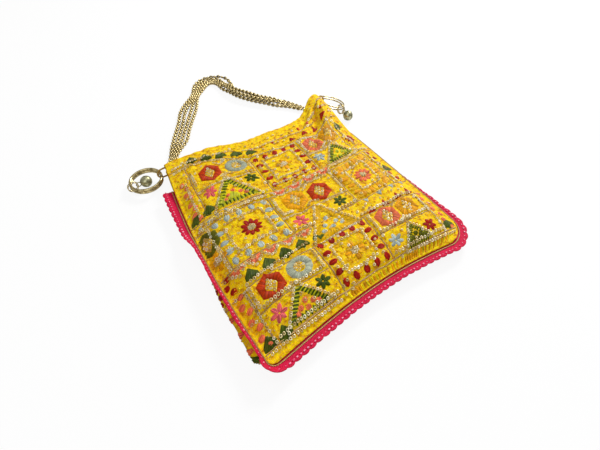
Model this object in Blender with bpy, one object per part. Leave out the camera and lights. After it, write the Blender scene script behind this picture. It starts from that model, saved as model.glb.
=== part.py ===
"""A potli pouch of quilted patchwork cloth, lying on its back.

Lace is sewn round three sides, a drawstring holds a pair of rings and a bell at each end of the mouth,
and a chain of four strands is the handle.


The pouch lies on z = 0 with its mouth towards +Y and its width along X. Lengths are in metres.
A point of the cloth is given by s, from -1 at the left seam to 1 at the right one, and t, from 0 at the
bottom seam to 1 at the mouth.
"""

import math

import bmesh
import bpy
import numpy as np
from mathutils import Vector
from mathutils.geometry import delaunay_2d_cdt

# Pouch
BASE_WIDTH = 0.198
MOUTH_WIDTH = 0.184
HEIGHT = 0.222
LEAN = 0.023  # the mouth lies this far to the right of the base
BOW = 0.006  # how far the middle of the left seam bows out
CORNER_RADIUS = 0.013
CLOTH = 0.0012
CROWN = 0.0125  # rise of the front above its seam
CROWN_REACH = 0.055  # how far in from a seam the front is still rising
SEAM_ALLOWANCE = 0.003  # flat margin that is sewn to the lace
BACK_RISE = 0.0058  # height of the back's edge above the ground
BACK_TURN = 0.018  # width of the back's margin that curves up to the seam
GAP = 0.0003  # between pieces that touch
GROUND_GAP = 0.0001  # between the ground and what lies on it beside the pouch
MERGE = 1e-7

# Mouth
SAG = 0.015  # how far the middle of the mouth line drops
SAG_CENTRE = 0.30
SAG_SPAN = 0.62
CASING_HEIGHT = 0.005
CASING_DEPTH = 0.010
HEM_TOP = 0.0145  # top of the front hem at the corners
HEM_ARCH = 0.0035
LIFT = 0.012  # rise of the bunched right corner
LIFT_CENTRE = 0.90
LIFT_SPAN = 0.17
PLEAT_DEPTH = 0.0032
PLEAT_COUNT = 4
PLEAT_REACH = 0.085  # length of the pleats that fan out of the right corner
WAVE = 0.0008  # slow unevenness of the stuffed-looking front
WAVE_MARGIN = 0.013  # width over which pleats and waves die out at the seams and the hem
HEM_BLEND = 0.68  # share of the height above which the front rises or falls to its hem
BACK_BLEND = 0.78, 0.95  # shares of the height between which the back's curved margin runs out

# Lining
LINING = 0.0006
LINING_GAP = 0.0011
LINING_INSET = 0.008

# Lace
LACE_THICKNESS = 0.0008
LACE_OUT = 0.0085  # width that shows beyond the seam
SCALLOP = 0.0066
SCALLOP_DEPTH = 0.0012
LACE_TOP_LEFT = 0.86  # how far up each side the lace is sewn
LACE_TOP_RIGHT = 0.73
LACE_TILT = 4  # in degrees, where it lies flat, and what the turned stretches add
LACE_TURN_LEFT = 58
LACE_TURN_RIGHT = 40

# Drawstring and hardware
STRING_RADIUS = 0.0009
LOOP_OUT = 0.0095  # how far the string's bend stands out of the casing's ends
RING_SEAT = 0.0007  # between the string's bend and the rings that hang in it
PULL_RING_RADIUS = 0.01475
RING_WIRE = 0.00125
LEFT_RING_Z = 0.0058
RIGHT_RING_Z = 0.0100
JUMP_RING_RADIUS = 0.0049
JUMP_RING_WIRE = 0.0005
JUMP_RING_OUT = 0.0017  # from the middle of the two rings' wires to the middle of a jump ring
JUMP_RING_APART = 0.0009  # of each jump ring from the bell's middle plane
BELL_RADIUS = 0.0055
BELL_WALL = 0.0006
BELL_SLOT = 0.0013
EYE_RADIUS = 0.0023
EYE_WIRE = 0.0005
EYE_SUNK = 0.0003  # how far the bell's top reaches into its eye
PELLET_RADIUS = 0.0014

# Chain handle
CHAIN_RING_RADIUS = 0.0051
CHAIN_RING_WIRE = 0.0009
CHAIN_Z = 0.0025
TAB_INNER = 0.00175
TAB_OUTER = 0.0024
TAB_WIDTH = 0.004
TAB_LEFT_S = -0.91
TAB_RIGHT_S = 0.93
STRANDS = 4
STRAND_RADIUS = 0.0023
STRAND_NECK = 0.0014
STRAND_PITCH = 0.0049  # sideways, between strands
STRAND_END = 0.42  # share of its thickness that a strand keeps where the four meet
STRAND_TAPER = 0.016  # length over which it thins
BEAD = 0.009  # length of one bead of a strand
CHAIN_STEP = 0.002  # between the points that its smooth line is read at
# The handle's line as it lies: from the left end ring, from the middle of both rings and from the right one
CHAIN_LEFT = (0.016, 0.022), (0.027, 0.035), (0.048, 0.064), (0.067, 0.089), (0.086, 0.111)
CHAIN_APEX = (0.014, 0.124), (0.026, 0.127), (0.035, 0.119)
CHAIN_RIGHT = (-0.047, 0.104), (-0.044, 0.085), (-0.038, 0.068), (-0.027, 0.047), (-0.014, 0.026)
TWIST_START = 0.60, 0.70  # shares of the line where the four strands turn from flat to two by two
TWIST_END = 0.84, 0.93

# Mesh of the cloth
PANEL_COLUMNS = 24
PANEL_ROWS = 15
LINING_COLUMNS = 16
LINING_ROWS = 11

# Embroidered fields, on the cloth laid flat
FLAT_WIDTH = (BASE_WIDTH + MOUTH_WIDTH) / 2
LOW_ROW_TOP = 0.056
ROW_PITCH = 0.069
ROW_STARTS = -0.088, -0.080, -0.082  # left end of each row's first cell
CELL_HEIGHT = 0.049
SQUARE = 0.047
PAIR = 0.062
HEXAGON = 0.0105
STAR = 0.0055
DASH = 0.0026
DASH_INSET = 0.005  # from a square's edge to the middle of its dashes
WEDGE = 0.019  # half the base of a pair cell's triangle
WEDGE_DROP = 0.013  # how far it reaches below the cell
FLOWER = 0.0085
MOON_PITCH = 0.0125
MOON = 0.0045
FIELD_MARGIN = 0.004  # of plain cloth along the seams and the hem
FIELD_CLEAR = 0.0018  # between a field's outline and the nearest free point of the mesh

COLOURS = {
    "cloth_yellow": ((0.86, 0.55, 0.02), 0.75, 0.0),
    "thread_rust": ((0.55, 0.06, 0.01), 0.6, 0.0),
    "thread_coral": ((0.88, 0.20, 0.09), 0.6, 0.0),
    "thread_amber": ((0.88, 0.40, 0.0), 0.6, 0.0),
    "thread_olive": ((0.15, 0.16, 0.01), 0.6, 0.0),
    "thread_green": ((0.03, 0.08, 0.01), 0.6, 0.0),
    "thread_grey": ((0.45, 0.50, 0.38), 0.6, 0.0),
    "thread_pink": ((0.85, 0.12, 0.12), 0.6, 0.0),
    "thread_red": ((0.42, 0.01, 0.0), 0.6, 0.0),
    "sequin_gold": ((0.75, 0.60, 0.30), 0.3, 0.4),
    "lining_cotton": ((0.75, 0.50, 0.10), 0.85, 0.0),
    "lace_pink": ((0.80, 0.01, 0.09), 0.7, 0.0),
    "string_yellow": ((0.75, 0.45, 0.05), 0.8, 0.0),
    "brass": ((0.62, 0.47, 0.22), 0.3, 1.0),
    "bell_metal": ((0.55, 0.50, 0.36), 0.35, 1.0),
}
Z_UP = Vector((0.0, 0.0, 1.0))


def material(name):
    """The named material, made the first time it is asked for."""
    if name in bpy.data.materials:
        return bpy.data.materials[name]
    colour, roughness, metallic = COLOURS[name]
    made = bpy.data.materials.new(name)
    made.use_nodes = True
    shader = made.node_tree.nodes["Principled BSDF"]
    shader.inputs["Base Color"].default_value = (*colour, 1.0)
    shader.inputs["Roughness"].default_value = roughness
    shader.inputs["Metallic"].default_value = metallic
    made.diffuse_color = (*colour, 1.0)
    return made


def finish(name, bm, materials, smooth=True, parent=None):
    """Makes the node called name from a closed bmesh given in world coordinates."""
    bmesh.ops.recalc_face_normals(bm, faces=bm.faces)
    mesh = bpy.data.meshes.new(name)
    if parent is not None:
        bmesh.ops.translate(bm, verts=bm.verts, vec=-parent.location)
    bm.to_mesh(mesh)
    bm.free()
    for slot in materials:
        mesh.materials.append(material(slot))
    if smooth:
        mesh.shade_smooth()
        mesh.set_sharp_from_angle(angle=math.radians(50))
    made = bpy.data.objects.new(name, mesh)
    bpy.context.collection.objects.link(made)
    made.parent = parent
    return made


def pivot(name, place):
    """An empty on a joint's axis, which carries the pieces that move with it."""
    made = bpy.data.objects.new(name, None)
    made.location = place
    made.empty_display_size = 0.01
    bpy.context.collection.objects.link(made)
    return made


def clamp(x):
    return min(max(x, 0.0), 1.0)


def smooth_step(low, high, x):
    q = clamp((x - low) / (high - low))
    return q * q * (3 - 2 * q)


def mix(a, b, q):
    return a + (b - a) * q


# The cloth's shape


def mouth_height(s):
    """Distance from the bottom seam to the mouth along column s."""
    q = clamp(1 - abs(s - SAG_CENTRE) / SAG_SPAN)
    return HEIGHT - SAG * q * q * (3 - 2 * q)


def half_width(up):
    """Half the pouch's width at a height above the bottom seam, with its rounded lower corners."""
    half = mix(BASE_WIDTH, MOUTH_WIDTH, up / HEIGHT) / 2
    if up < CORNER_RADIUS:
        half -= CORNER_RADIUS - math.sqrt(CORNER_RADIUS**2 - (CORNER_RADIUS - up) ** 2)
    return half


def plan(s, t):
    up = t * mouth_height(s)
    bow = BOW * math.sin(math.pi * up / HEIGHT) * (1 - s) / 2
    return s * half_width(up) + LEAN * (up / HEIGHT - 0.5) - bow, up - HEIGHT / 2


def from_edges(s, t):
    """Distances from the nearer side seam and from the bottom seam."""
    up = t * mouth_height(s)
    return (1 - abs(s)) * half_width(up), up


def hem_top(s, lift=LIFT):
    """Top of the front hem, with its bunched corner."""
    return HEM_TOP + HEM_ARCH * (1 - s * s) + lift * math.exp(-(((s - LIFT_CENTRE) / LIFT_SPAN) ** 2))


def lace_under():
    return BACK_RISE + CLOTH + GAP


def front_seam():
    """Underside of the front's margin, which lies on the lace."""
    return lace_under() + LACE_THICKNESS + GAP


def swell(distance):
    return 1 - (1 - clamp((distance - SEAM_ALLOWANCE) / CROWN_REACH)) ** 3


def front_base(s, t, lift=LIFT):
    """Top of the front without its pleats."""
    side, base = from_edges(s, t)
    dome = front_seam() + CLOTH + CROWN * swell(side) * swell(base)
    return mix(dome, hem_top(s, lift), smooth_step(HEM_BLEND, 1.0, t))


def front_top(s, t):
    """Top of the front: its dome, the pleats that fan out of the bunched corner, and slow waves."""
    side, base = from_edges(s, t)
    x, y = plan(s, t)
    corner_x, corner_y = plan(1.0, 1.0)
    across, down = corner_x - x, corner_y - y
    reach = math.hypot(across, down)
    angle = math.atan2(across, max(down, 1e-6))
    fan = math.sin(4 * PLEAT_COUNT * angle) ** 2 * math.exp(-2 * (reach / PLEAT_REACH) ** 2)
    fan *= clamp(4 * reach / PLEAT_REACH)
    inside = clamp((side - SEAM_ALLOWANCE) / WAVE_MARGIN) * clamp((base - SEAM_ALLOWANCE) / WAVE_MARGIN)
    inside *= smooth_step(0.0, WAVE_MARGIN, (1 - t) * mouth_height(s))
    slow = math.sin(61 * x + 23 * y + 1.0) * math.sin(47 * y - 19 * x)
    return front_base(s, t) + inside * (PLEAT_DEPTH * fan + WAVE * (1 + slow))


def back_under(s, t):
    """Underside of the back, flat on the ground except for its margin."""
    side, base = from_edges(s, t)
    turn = (1 - clamp(side / BACK_TURN)) ** 2
    turn += (1 - turn) * (1 - clamp(base / BACK_TURN)) ** 2
    return BACK_RISE * turn * (1 - smooth_step(*BACK_BLEND, t))


def front_under(s, t):
    return front_base(s, t) - CLOTH


def back_top(s, t):
    return back_under(s, t) + CLOTH


# The embroidered fields


def ngon(p, q, radius, count, turn=0.0, squash=1.0):
    steps = (turn + math.tau * k / count for k in range(count))
    return [(p + squash * radius * math.cos(a), q + radius * math.sin(a)) for a in steps]


def star(p, q, radius):
    points = []
    for k in range(10):
        angle = math.pi / 2 + math.tau * k / 10
        reach = radius * (1.0 if k % 2 == 0 else 0.45)
        points.append((p + reach * math.cos(angle), q + reach * math.sin(angle)))
    return points


def hexagon(p, q, colour):
    """A six-sided patch with a lozenge of sequins at its middle."""
    outer = ngon(p, q, HEXAGON, 6, math.pi / 2, 0.95)
    return [(outer, colour), (ngon(p, q, HEXAGON * 0.55, 4, 0.0, 0.62), "sequin_gold")]


def pair_cell(p, top, hexagons, stars, wedge, dots):
    """Two hexagons over a triangle that stands between two stars."""
    middle = p + PAIR / 2
    base = top - CELL_HEIGHT - WEDGE_DROP
    apart = HEXAGON + 0.0015
    high = top - HEXAGON - 0.0015
    fields = hexagon(middle - apart, high, hexagons[0]) + hexagon(middle + apart, high, hexagons[1])
    for side, colour in zip((-1, 1), stars):
        fields.append((star(middle + side * PAIR / 3, top - CELL_HEIGHT * 2 / 3, STAR), colour))
    tip = top - 2 * HEXAGON - 0.006
    fields.append(([(middle, tip), (middle - WEDGE, base), (middle + WEDGE, base)], wedge))
    tip, base = mix(tip, base, 0.3), mix(tip, base, 0.85)
    fields.append(([(middle, tip), (middle - WEDGE / 2, base), (middle + WEDGE / 2, base)], dots))
    return fields


def square_cell(p, top, dash, heart):
    """A square framed by short dashes, with a flower at its middle."""
    fields = []
    low = top - CELL_HEIGHT
    for k in range(4):
        u = mix(DASH_INSET, SQUARE - DASH_INSET, k / 3)
        v = mix(DASH_INSET, CELL_HEIGHT - DASH_INSET, k / 3)
        for end in (DASH_INSET, CELL_HEIGHT - DASH_INSET):
            fields.append((ngon(p + u, low + end, DASH, 4), dash))
        if 0 < k < 3:
            for end in (DASH_INSET, SQUARE - DASH_INSET):
                fields.append((ngon(p + end, low + v, DASH, 4), dash))
    middle = (p + SQUARE / 2, top - CELL_HEIGHT / 2)
    fields.append((ngon(*middle, FLOWER, 8), heart))
    fields.append((ngon(*middle, FLOWER / 3, 6), "sequin_gold"))
    return fields


def band(p, top, upper, lower):
    """Half moons over a row of leaves, below a square cell."""
    fields = []
    high = top - CELL_HEIGHT - 0.003
    low = high - 0.0115
    for k in range(4):
        middle = p + (k + 0.5) * MOON_PITCH
        fields.append(([(middle - MOON, high), (middle, high - MOON), (middle + MOON, high)], upper))
        fields.append(([(middle - MOON, low), (middle + MOON, low), (middle, low + MOON)], lower))
    return fields


def embroidery():
    """Every field of the cloth laid flat, nested ones after those that hold them."""
    low, middle, high = (LOW_ROW_TOP + k * ROW_PITCH for k in range(3))
    start_low, start_middle, start_high = ROW_STARTS
    fields = []
    for p, top in ((start_low, low), (start_high, high)):
        hexagons, stars = ("thread_rust", "thread_grey"), ("thread_pink", "thread_green")
        fields += pair_cell(p, top, hexagons, stars, "thread_green", "thread_coral")
        fields += square_cell(p + PAIR, top, "thread_red", "thread_amber")
        hexagons, stars = ("thread_coral", "thread_amber"), ("thread_grey", "thread_red")
        fields += pair_cell(p + PAIR + SQUARE, top, hexagons, stars, "thread_olive", "cloth_yellow")
    fields += square_cell(start_middle, middle, "thread_grey", "thread_red")
    fields += band(start_middle, middle, "thread_coral", "thread_green")
    hexagons, stars = ("thread_amber", "thread_rust"), ("thread_pink", "thread_green")
    fields += pair_cell(start_middle + SQUARE, middle, hexagons, stars, "thread_amber", "thread_grey")
    fields += square_cell(start_middle + SQUARE + PAIR, middle, "thread_amber", "thread_pink")
    fields += band(start_middle + SQUARE + PAIR, middle, "thread_grey", "thread_red")
    return [f for f in fields if fits(f[0])]


def fits(outline):
    """Whether a field keeps clear of the seams and of the hem."""
    widest = FLAT_WIDTH / 2 - FIELD_MARGIN
    highest = HEIGHT - CASING_DEPTH - FIELD_MARGIN
    return all(abs(p) < widest and FIELD_MARGIN < q < highest for p, q in outline)


def near_outline(point, segments, distance):
    """Whether a flat point lies within a distance of any of the segments."""
    for a, b in segments:
        run = b - a
        along = clamp((point - a).dot(run) / run.dot(run))
        if (point - a - along * run).length < distance:
            return True
    return False


def laid_flat(s, t):
    return Vector((s * FLAT_WIDTH / 2, t * HEIGHT))


def skin(bm, columns, rows, spots, fields, place):
    """One skin of a panel, triangulated round its fields. Returns its vertices along the edges."""
    edge = [(s, 0.0) for s in columns] + [(1.0, t) for t in rows[1:]]
    edge += [(s, 1.0) for s in reversed(columns[:-1])] + [(-1.0, t) for t in reversed(rows[1:-1])]
    points = [laid_flat(*e) for e in edge]
    faces = [list(range(len(points)))]
    segments = []
    for outline, _ in fields:
        ring = [Vector(p) for p in outline]
        faces.append(list(range(len(points), len(points) + len(ring))))
        points += ring
        segments += list(zip(ring, ring[1:] + ring[:1]))
    points += [p for p in (laid_flat(*spot) for spot in spots) if not near_outline(p, segments, FIELD_CLEAR)]
    found = delaunay_2d_cdt(points, [], faces, 1, MERGE)
    verts = [bm.verts.new(place(clamp(0.5 + p / FLAT_WIDTH) * 2 - 1, clamp(q / HEIGHT))) for p, q in found[0]]
    for corners, inside in zip(found[2], found[5]):
        face = bm.faces.new([verts[k] for k in corners])
        face.material_index = max(inside)
    lookup = {}
    for k, sources in enumerate(found[3]):
        for source in sources:
            if source < len(edge):
                lookup[edge[source]] = verts[k]
    return lookup


def bridge(bm, first, second):
    """Faces between two rows of vertices of the same length."""
    for a, b, c, d in zip(first, first[1:], second[1:], second):
        bm.faces.new((a, b, c, d))


def panel(name, outer, base, inner, sign, fields, spots, inner_spots):
    """A cloth panel with its hem turned in as a casing. sign is 1 where the outside faces up."""
    columns = [-1 + 2 * k / PANEL_COLUMNS for k in range(PANEL_COLUMNS + 1)]
    corner = CORNER_RADIUS / HEIGHT
    rows = [corner * (1 - math.cos(math.radians(a))) for a in (0, 30, 60, 90)]
    rows += [mix(corner, 1.0, k / PANEL_ROWS) for k in range(1, PANEL_ROWS + 1)]
    bm = bmesh.new()
    out_edge = skin(bm, columns, rows, spots, fields, lambda s, t: (*plan(s, t), outer(s, t)))
    in_edge = skin(bm, columns, rows, inner_spots, [], lambda s, t: (*plan(s, t), inner(s, t)))
    names = ["cloth_yellow"] + [colour for _, colour in fields]
    slots = list(dict.fromkeys(names))
    for face in bm.faces:
        face.material_index = slots.index(names[face.material_index])
    for s in (-1.0, 1.0):
        bridge(bm, [out_edge[s, t] for t in rows], [in_edge[s, t] for t in rows])
    bridge(bm, [out_edge[s, 0.0] for s in columns], [in_edge[s, 0.0] for s in columns])
    skins = []
    for edge, thick in ((out_edge, 0.0), (in_edge, CLOTH)):
        layers = [[edge[s, 1.0] for s in columns]]
        radius = CASING_HEIGHT / 2 - thick
        for degrees in (60, 30, 0, -30, -60, -90):
            out = radius * math.cos(math.radians(degrees))
            up = sign * radius * math.sin(math.radians(degrees))
            row = []
            for s in columns:
                x, y = plan(s, 1.0)
                row.append(bm.verts.new((x, y + out, outer(s, 1.0) - sign * CASING_HEIGHT / 2 + up)))
            layers.append(row)
        for back in (CASING_DEPTH / 2, CASING_DEPTH):
            row = []
            for s in columns:
                t = 1 - back / mouth_height(s)
                row.append(bm.verts.new((*plan(s, t), base(s, t) - sign * (CASING_HEIGHT - thick))))
            layers.append(row)
        for first, second in zip(layers, layers[1:]):
            bridge(bm, first, second)
        skins.append(layers)
    for side in (0, -1):
        bridge(bm, [row[side] for row in skins[0]], [row[side] for row in skins[1]])
    bridge(bm, skins[0][-1], skins[1][-1])
    return finish(name, bm, slots)


def grid_spots(across, up):
    """Points inside a panel, closer together where its margins curve."""
    margins = [BACK_TURN * q for q in (0.28, 0.62, 1.0)]
    *near_s, inner_s = (1 - 2 * m / FLAT_WIDTH for m in margins)
    *near_t, inner_t = (m / HEIGHT for m in margins)
    columns = [side * s for s in near_s for side in (-1, 1)]
    columns += [mix(-inner_s, inner_s, i / (across - 1)) for i in range(across)]
    rows = near_t + [mix(inner_t, 1 - inner_t / 2, j / (up - 1)) for j in range(up)]
    return [(s, t) for s in columns for t in rows]


def pleat_spots():
    """Closer points where the pleats fan out."""
    steps = [k / 10 for k in range(11)]
    return [(mix(0.30, 0.92, a), mix(0.60, 0.94, b)) for a in steps for b in steps]


def build_panels():
    """The quilted front, and a back that keeps only the larger fields."""
    fields = embroidery()
    large = [field for field in fields if len(field[0]) in (6, 8)]
    fine = grid_spots(15, 17) + pleat_spots()
    coarse = grid_spots(12, 12)
    panel("front_panel", front_top, front_base, front_under, 1, fields, fine, coarse)
    panel("back_panel", back_under, back_under, back_top, -1, large, coarse, coarse)


def build_lining():
    """An inner sack, open at the mouth, between the two panels."""
    bm = bmesh.new()

    def loop(inset, up_share, offset):
        """One closed row of the sack: across the front, then back across the back."""
        row = []
        for front in (True, False):
            ways = range(LINING_COLUMNS + 1)
            for i in ways if front else reversed(ways):
                s = (-1 + 2 * i / LINING_COLUMNS) * (1 - inset / (MOUTH_WIDTH / 2))
                top = mouth_height(s) - CASING_DEPTH - CLOTH - GAP
                t = mix(inset, top, up_share) / mouth_height(s)
                x, y = plan(s, t)
                if front:
                    z = front_base(s, t, 0.0) - CLOTH - LINING_GAP - offset
                else:
                    z = back_top(s, t) + LINING_GAP + offset
                row.append(bm.verts.new((x, y, z)))
        return row

    skins = []
    for offset in (0.0, LINING):
        rows = [loop(LINING_INSET + offset, (k / LINING_ROWS) ** 1.2, offset) for k in range(LINING_ROWS + 1)]
        for first, second in zip(rows, rows[1:]):
            bridge(bm, first + first[:1], second + second[:1])
        low = rows[0]
        bridge(bm, low[: LINING_COLUMNS + 1], low[:LINING_COLUMNS:-1])
        skins.append(rows)
    outer, inner = (rows[-1] for rows in skins)
    bridge(bm, outer + outer[:1], inner + inner[:1])
    finish("lining", bm, ["lining_cotton"])


def seam_line():
    """Points and outward directions along the three sewn sides, from the top left down and round."""
    points = []
    ups = [LACE_TOP_LEFT * HEIGHT + (CORNER_RADIUS - LACE_TOP_LEFT * HEIGHT) * k / 80 for k in range(80)]
    turn = [CORNER_RADIUS * (1 - math.cos(math.radians(a))) for a in range(90, -1, -15)]
    points += [plan(-1.0, up / mouth_height(-1.0)) for up in ups + turn]
    points += [plan(-1 + k / 40, 0.0) for k in range(1, 80)]
    ups = [CORNER_RADIUS + (LACE_TOP_RIGHT * HEIGHT - CORNER_RADIUS) * k / 70 for k in range(1, 71)]
    points += [plan(1.0, up / mouth_height(1.0)) for up in turn[::-1] + ups]
    return np.array(points)


def resample(points, step):
    """The line's points at even distances of about step, and the directions there."""
    lengths = np.concatenate([[0.0], np.cumsum(np.linalg.norm(np.diff(points, axis=0), axis=1))])
    count = max(2, round(lengths[-1] / step))
    at = np.linspace(0.0, lengths[-1], count + 1)
    even = np.stack([np.interp(at, lengths, points[:, k]) for k in range(points.shape[1])], axis=1)
    ways = np.gradient(even, axis=0)
    return even, ways / np.linalg.norm(ways, axis=1)[:, None], at


def lace_tilt(share):
    """How steeply the lace stands at a share of its length from its top left end, in radians.

    It lies flat there and along the base, and turns up beside the left seam and the upper right one.
    """
    left = smooth_step(0.09, 0.15, share) * (1 - smooth_step(0.34, 0.375, share))
    right = smooth_step(0.80, 0.90, share)
    return math.radians(LACE_TILT + LACE_TURN_LEFT * left + LACE_TURN_RIGHT * right)


def build_lace():
    """One scalloped band, its inner edge held in the seam."""
    line, ways, along = resample(seam_line(), SCALLOP / 3)
    bm = bmesh.new()
    columns = [[], [], [], [], [], []]
    low = lace_under()
    edge_in = GAP - SEAM_ALLOWANCE
    for point, way, at in zip(line, ways, along):
        tilt = lace_tilt(at / along[-1])
        reach = LACE_OUT - SCALLOP_DEPTH * (1 - abs(math.sin(math.pi * at / SCALLOP)))
        flat, rise = reach * math.cos(tilt), reach * math.sin(tilt)
        shift = LACE_THICKNESS * math.sin(tilt)
        section = [
            (edge_in, low),
            (GAP + shift, low),
            (flat + shift, low + rise),
            (flat, low + rise + LACE_THICKNESS * math.cos(tilt)),
            (GAP, low + LACE_THICKNESS),
            (edge_in, low + LACE_THICKNESS),
        ]
        for column, (d, z) in zip(columns, section):
            column.append(bm.verts.new((point[0] + way[1] * d, point[1] - way[0] * d, z)))
    for first, second in zip(columns, columns[1:] + columns[:1]):
        bridge(bm, first, second)
    for end in (0, -1):
        bm.faces.new([column[end] for column in columns])
    finish("lace_trim", bm, ["lace_pink"])


# Wires


def sweep(name, points, radii, sides, across, closed, slot, parent=None):
    """A round wire along points, whose section is set square to the direction across."""
    points = [Vector(p) for p in points]
    count = len(points)
    bm = bmesh.new()
    rings = []
    for k, point in enumerate(points):
        if closed:
            way = points[(k + 1) % count] - points[k - 1]
        else:
            way = points[min(k + 1, count - 1)] - points[max(k - 1, 0)]
        side = way.cross(Vector(across)).normalized()
        up = side.cross(way).normalized()
        ring = []
        for j in range(sides):
            angle = math.tau * (j + 0.5) / sides
            ring.append(bm.verts.new(point + radii[k] * (math.cos(angle) * side + math.sin(angle) * up)))
        rings.append(ring)
    for k in range(count if closed else count - 1):
        first, second = rings[k], rings[(k + 1) % count]
        bridge(bm, first + first[:1], second + second[:1])
    if not closed:
        bm.faces.new(rings[0])
        bm.faces.new(rings[-1])
    return finish(name, bm, [slot], parent=parent)


def ring_points(middle, normal, start, radius, count):
    """Points of a circle about middle, the first in the direction start."""
    side = Vector(normal).cross(start).normalized()
    start = Vector(start).normalized()
    steps = (math.tau * k / count for k in range(count))
    return [middle + radius * (math.cos(a) * start + math.sin(a) * side) for a in steps]


def casing_middle(s, front):
    """A point of the line down the middle of the front's or the back's casing."""
    x, y = plan(s, 1.0)
    z = hem_top(s) - CASING_HEIGHT / 2 if front else CASING_HEIGHT / 2
    return x, y, z


def build_drawstring():
    """One loop through both casings, with a bend standing out of each end."""
    columns = [-1 + 2 * k / PANEL_COLUMNS for k in range(PANEL_COLUMNS + 1)]
    bends = []
    for side in (1, -1):
        x, y, high = casing_middle(side, True)
        low = casing_middle(side, False)[2]
        bend = []
        for k in range(1, 10):
            angle = math.pi / 2 - math.pi * k / 10
            reach = side * (LOOP_OUT - STRING_RADIUS) * math.sqrt(math.cos(angle))
            bend.append((x + reach, y, (high + low) / 2 + (high - low) / 2 * math.sin(angle)))
        bends.append(bend)
    points = [casing_middle(s, True) for s in columns] + bends[0]
    points += [casing_middle(s, False) for s in reversed(columns)] + bends[1][::-1]
    sweep("drawstring", points, [STRING_RADIUS] * len(points), 6, (0, 1, 0), True, "string_yellow")


# Rings and bells


def corner_ring_place(side, height):
    """Where a ring's wire passes through the string's bend."""
    x, y = plan(side, 1.0)
    return Vector((x + side * (LOOP_OUT - 2 * STRING_RADIUS - RING_SEAT - RING_WIRE), y, height))


def build_bell(prefix, wire, tangent, radial, normal, parent):
    """A round bell with a slotted base, hung from a ring's wire by two jump rings.

    It lies on the ground, so its direction is the turn about the wire that puts it there.
    """
    eye_out = JUMP_RING_OUT + JUMP_RING_RADIUS - JUMP_RING_WIRE - GAP - EYE_WIRE + EYE_RADIUS
    bell_out = eye_out + EYE_RADIUS - EYE_WIRE - EYE_SUNK + BELL_RADIUS
    size = math.hypot(radial.z, normal.z) * bell_out
    turn = math.atan2(normal.z, radial.z) - math.acos((BELL_RADIUS + GROUND_GAP - wire.z) / size)
    way = (math.cos(turn) * radial + math.sin(turn) * normal).normalized()
    across = tangent.cross(way).normalized()
    for k, shift in enumerate((-JUMP_RING_APART, JUMP_RING_APART), 1):
        middle = wire + JUMP_RING_OUT * way + shift * tangent
        points = ring_points(middle, tangent, way, JUMP_RING_RADIUS, 14)
        sweep(f"{prefix}_jump_ring_{k}", points, [JUMP_RING_WIRE] * 14, 5, tangent, True, "brass", parent)
    eye = bmesh.new()
    add_wire(eye, ring_points(wire + eye_out * way, across, way, EYE_RADIUS, 12), EYE_WIRE, 5, across)
    middle = wire + bell_out * way
    turned = way.to_track_quat("Z", "Y").to_matrix().to_4x4()
    turned.translation = middle
    shell = bmesh.new()
    bmesh.ops.create_uvsphere(shell, u_segments=16, v_segments=10, radius=BELL_RADIUS, matrix=turned)
    hollow = bmesh.new()
    inside = BELL_RADIUS - BELL_WALL
    bmesh.ops.create_uvsphere(hollow, u_segments=12, v_segments=8, radius=inside, matrix=turned)
    slot = bmesh.new()
    bmesh.ops.create_cube(slot, size=1.0)
    bmesh.ops.scale(slot, verts=slot.verts, vec=(BELL_SLOT, BELL_RADIUS * 1.7, BELL_RADIUS))
    bmesh.ops.translate(slot, verts=slot.verts, vec=(0, 0, BELL_RADIUS * 0.75))
    bmesh.ops.transform(slot, verts=slot.verts, matrix=turned)
    body = finish(f"{prefix}_bell_shell", shell, ["bell_metal"], parent=parent)
    for cutter_name, mesh, operation in (
        (f"{prefix}_bell_eye", eye, "UNION"),
        (f"{prefix}_bell_hollow", hollow, "DIFFERENCE"),
        (f"{prefix}_bell_slot", slot, "DIFFERENCE"),
    ):
        cutter = finish(cutter_name, mesh, ["bell_metal"], smooth=False, parent=parent)
        cutter.hide_render = True
        cutter.display_type = "WIRE"
        cut = body.modifiers.new(cutter_name, "BOOLEAN")
        cut.operation = operation
        cut.object = cutter
        cut.solver = "EXACT"
    pellet = bmesh.new()
    bmesh.ops.create_icosphere(pellet, subdivisions=1, radius=PELLET_RADIUS)
    rest = middle - (BELL_RADIUS - BELL_WALL - PELLET_RADIUS - GAP * 1.5) * Z_UP
    bmesh.ops.translate(pellet, verts=pellet.verts, vec=rest)
    finish(f"{prefix}_bell_pellet", pellet, ["bell_metal"], parent=parent)


def add_wire(bm, points, radius, sides, across):
    """A closed round wire added to a bmesh."""
    count = len(points)
    rings = []
    for k, point in enumerate(points):
        way = points[(k + 1) % count] - points[k - 1]
        side = way.cross(across).normalized()
        up = side.cross(way).normalized()
        steps = (math.tau * (j + 0.5) / sides for j in range(sides))
        rings.append([bm.verts.new(point + radius * (math.cos(a) * side + math.sin(a) * up)) for a in steps])
    for first, second in zip(rings, rings[1:] + rings[:1]):
        bridge(bm, first + first[:1], second + second[:1])


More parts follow.
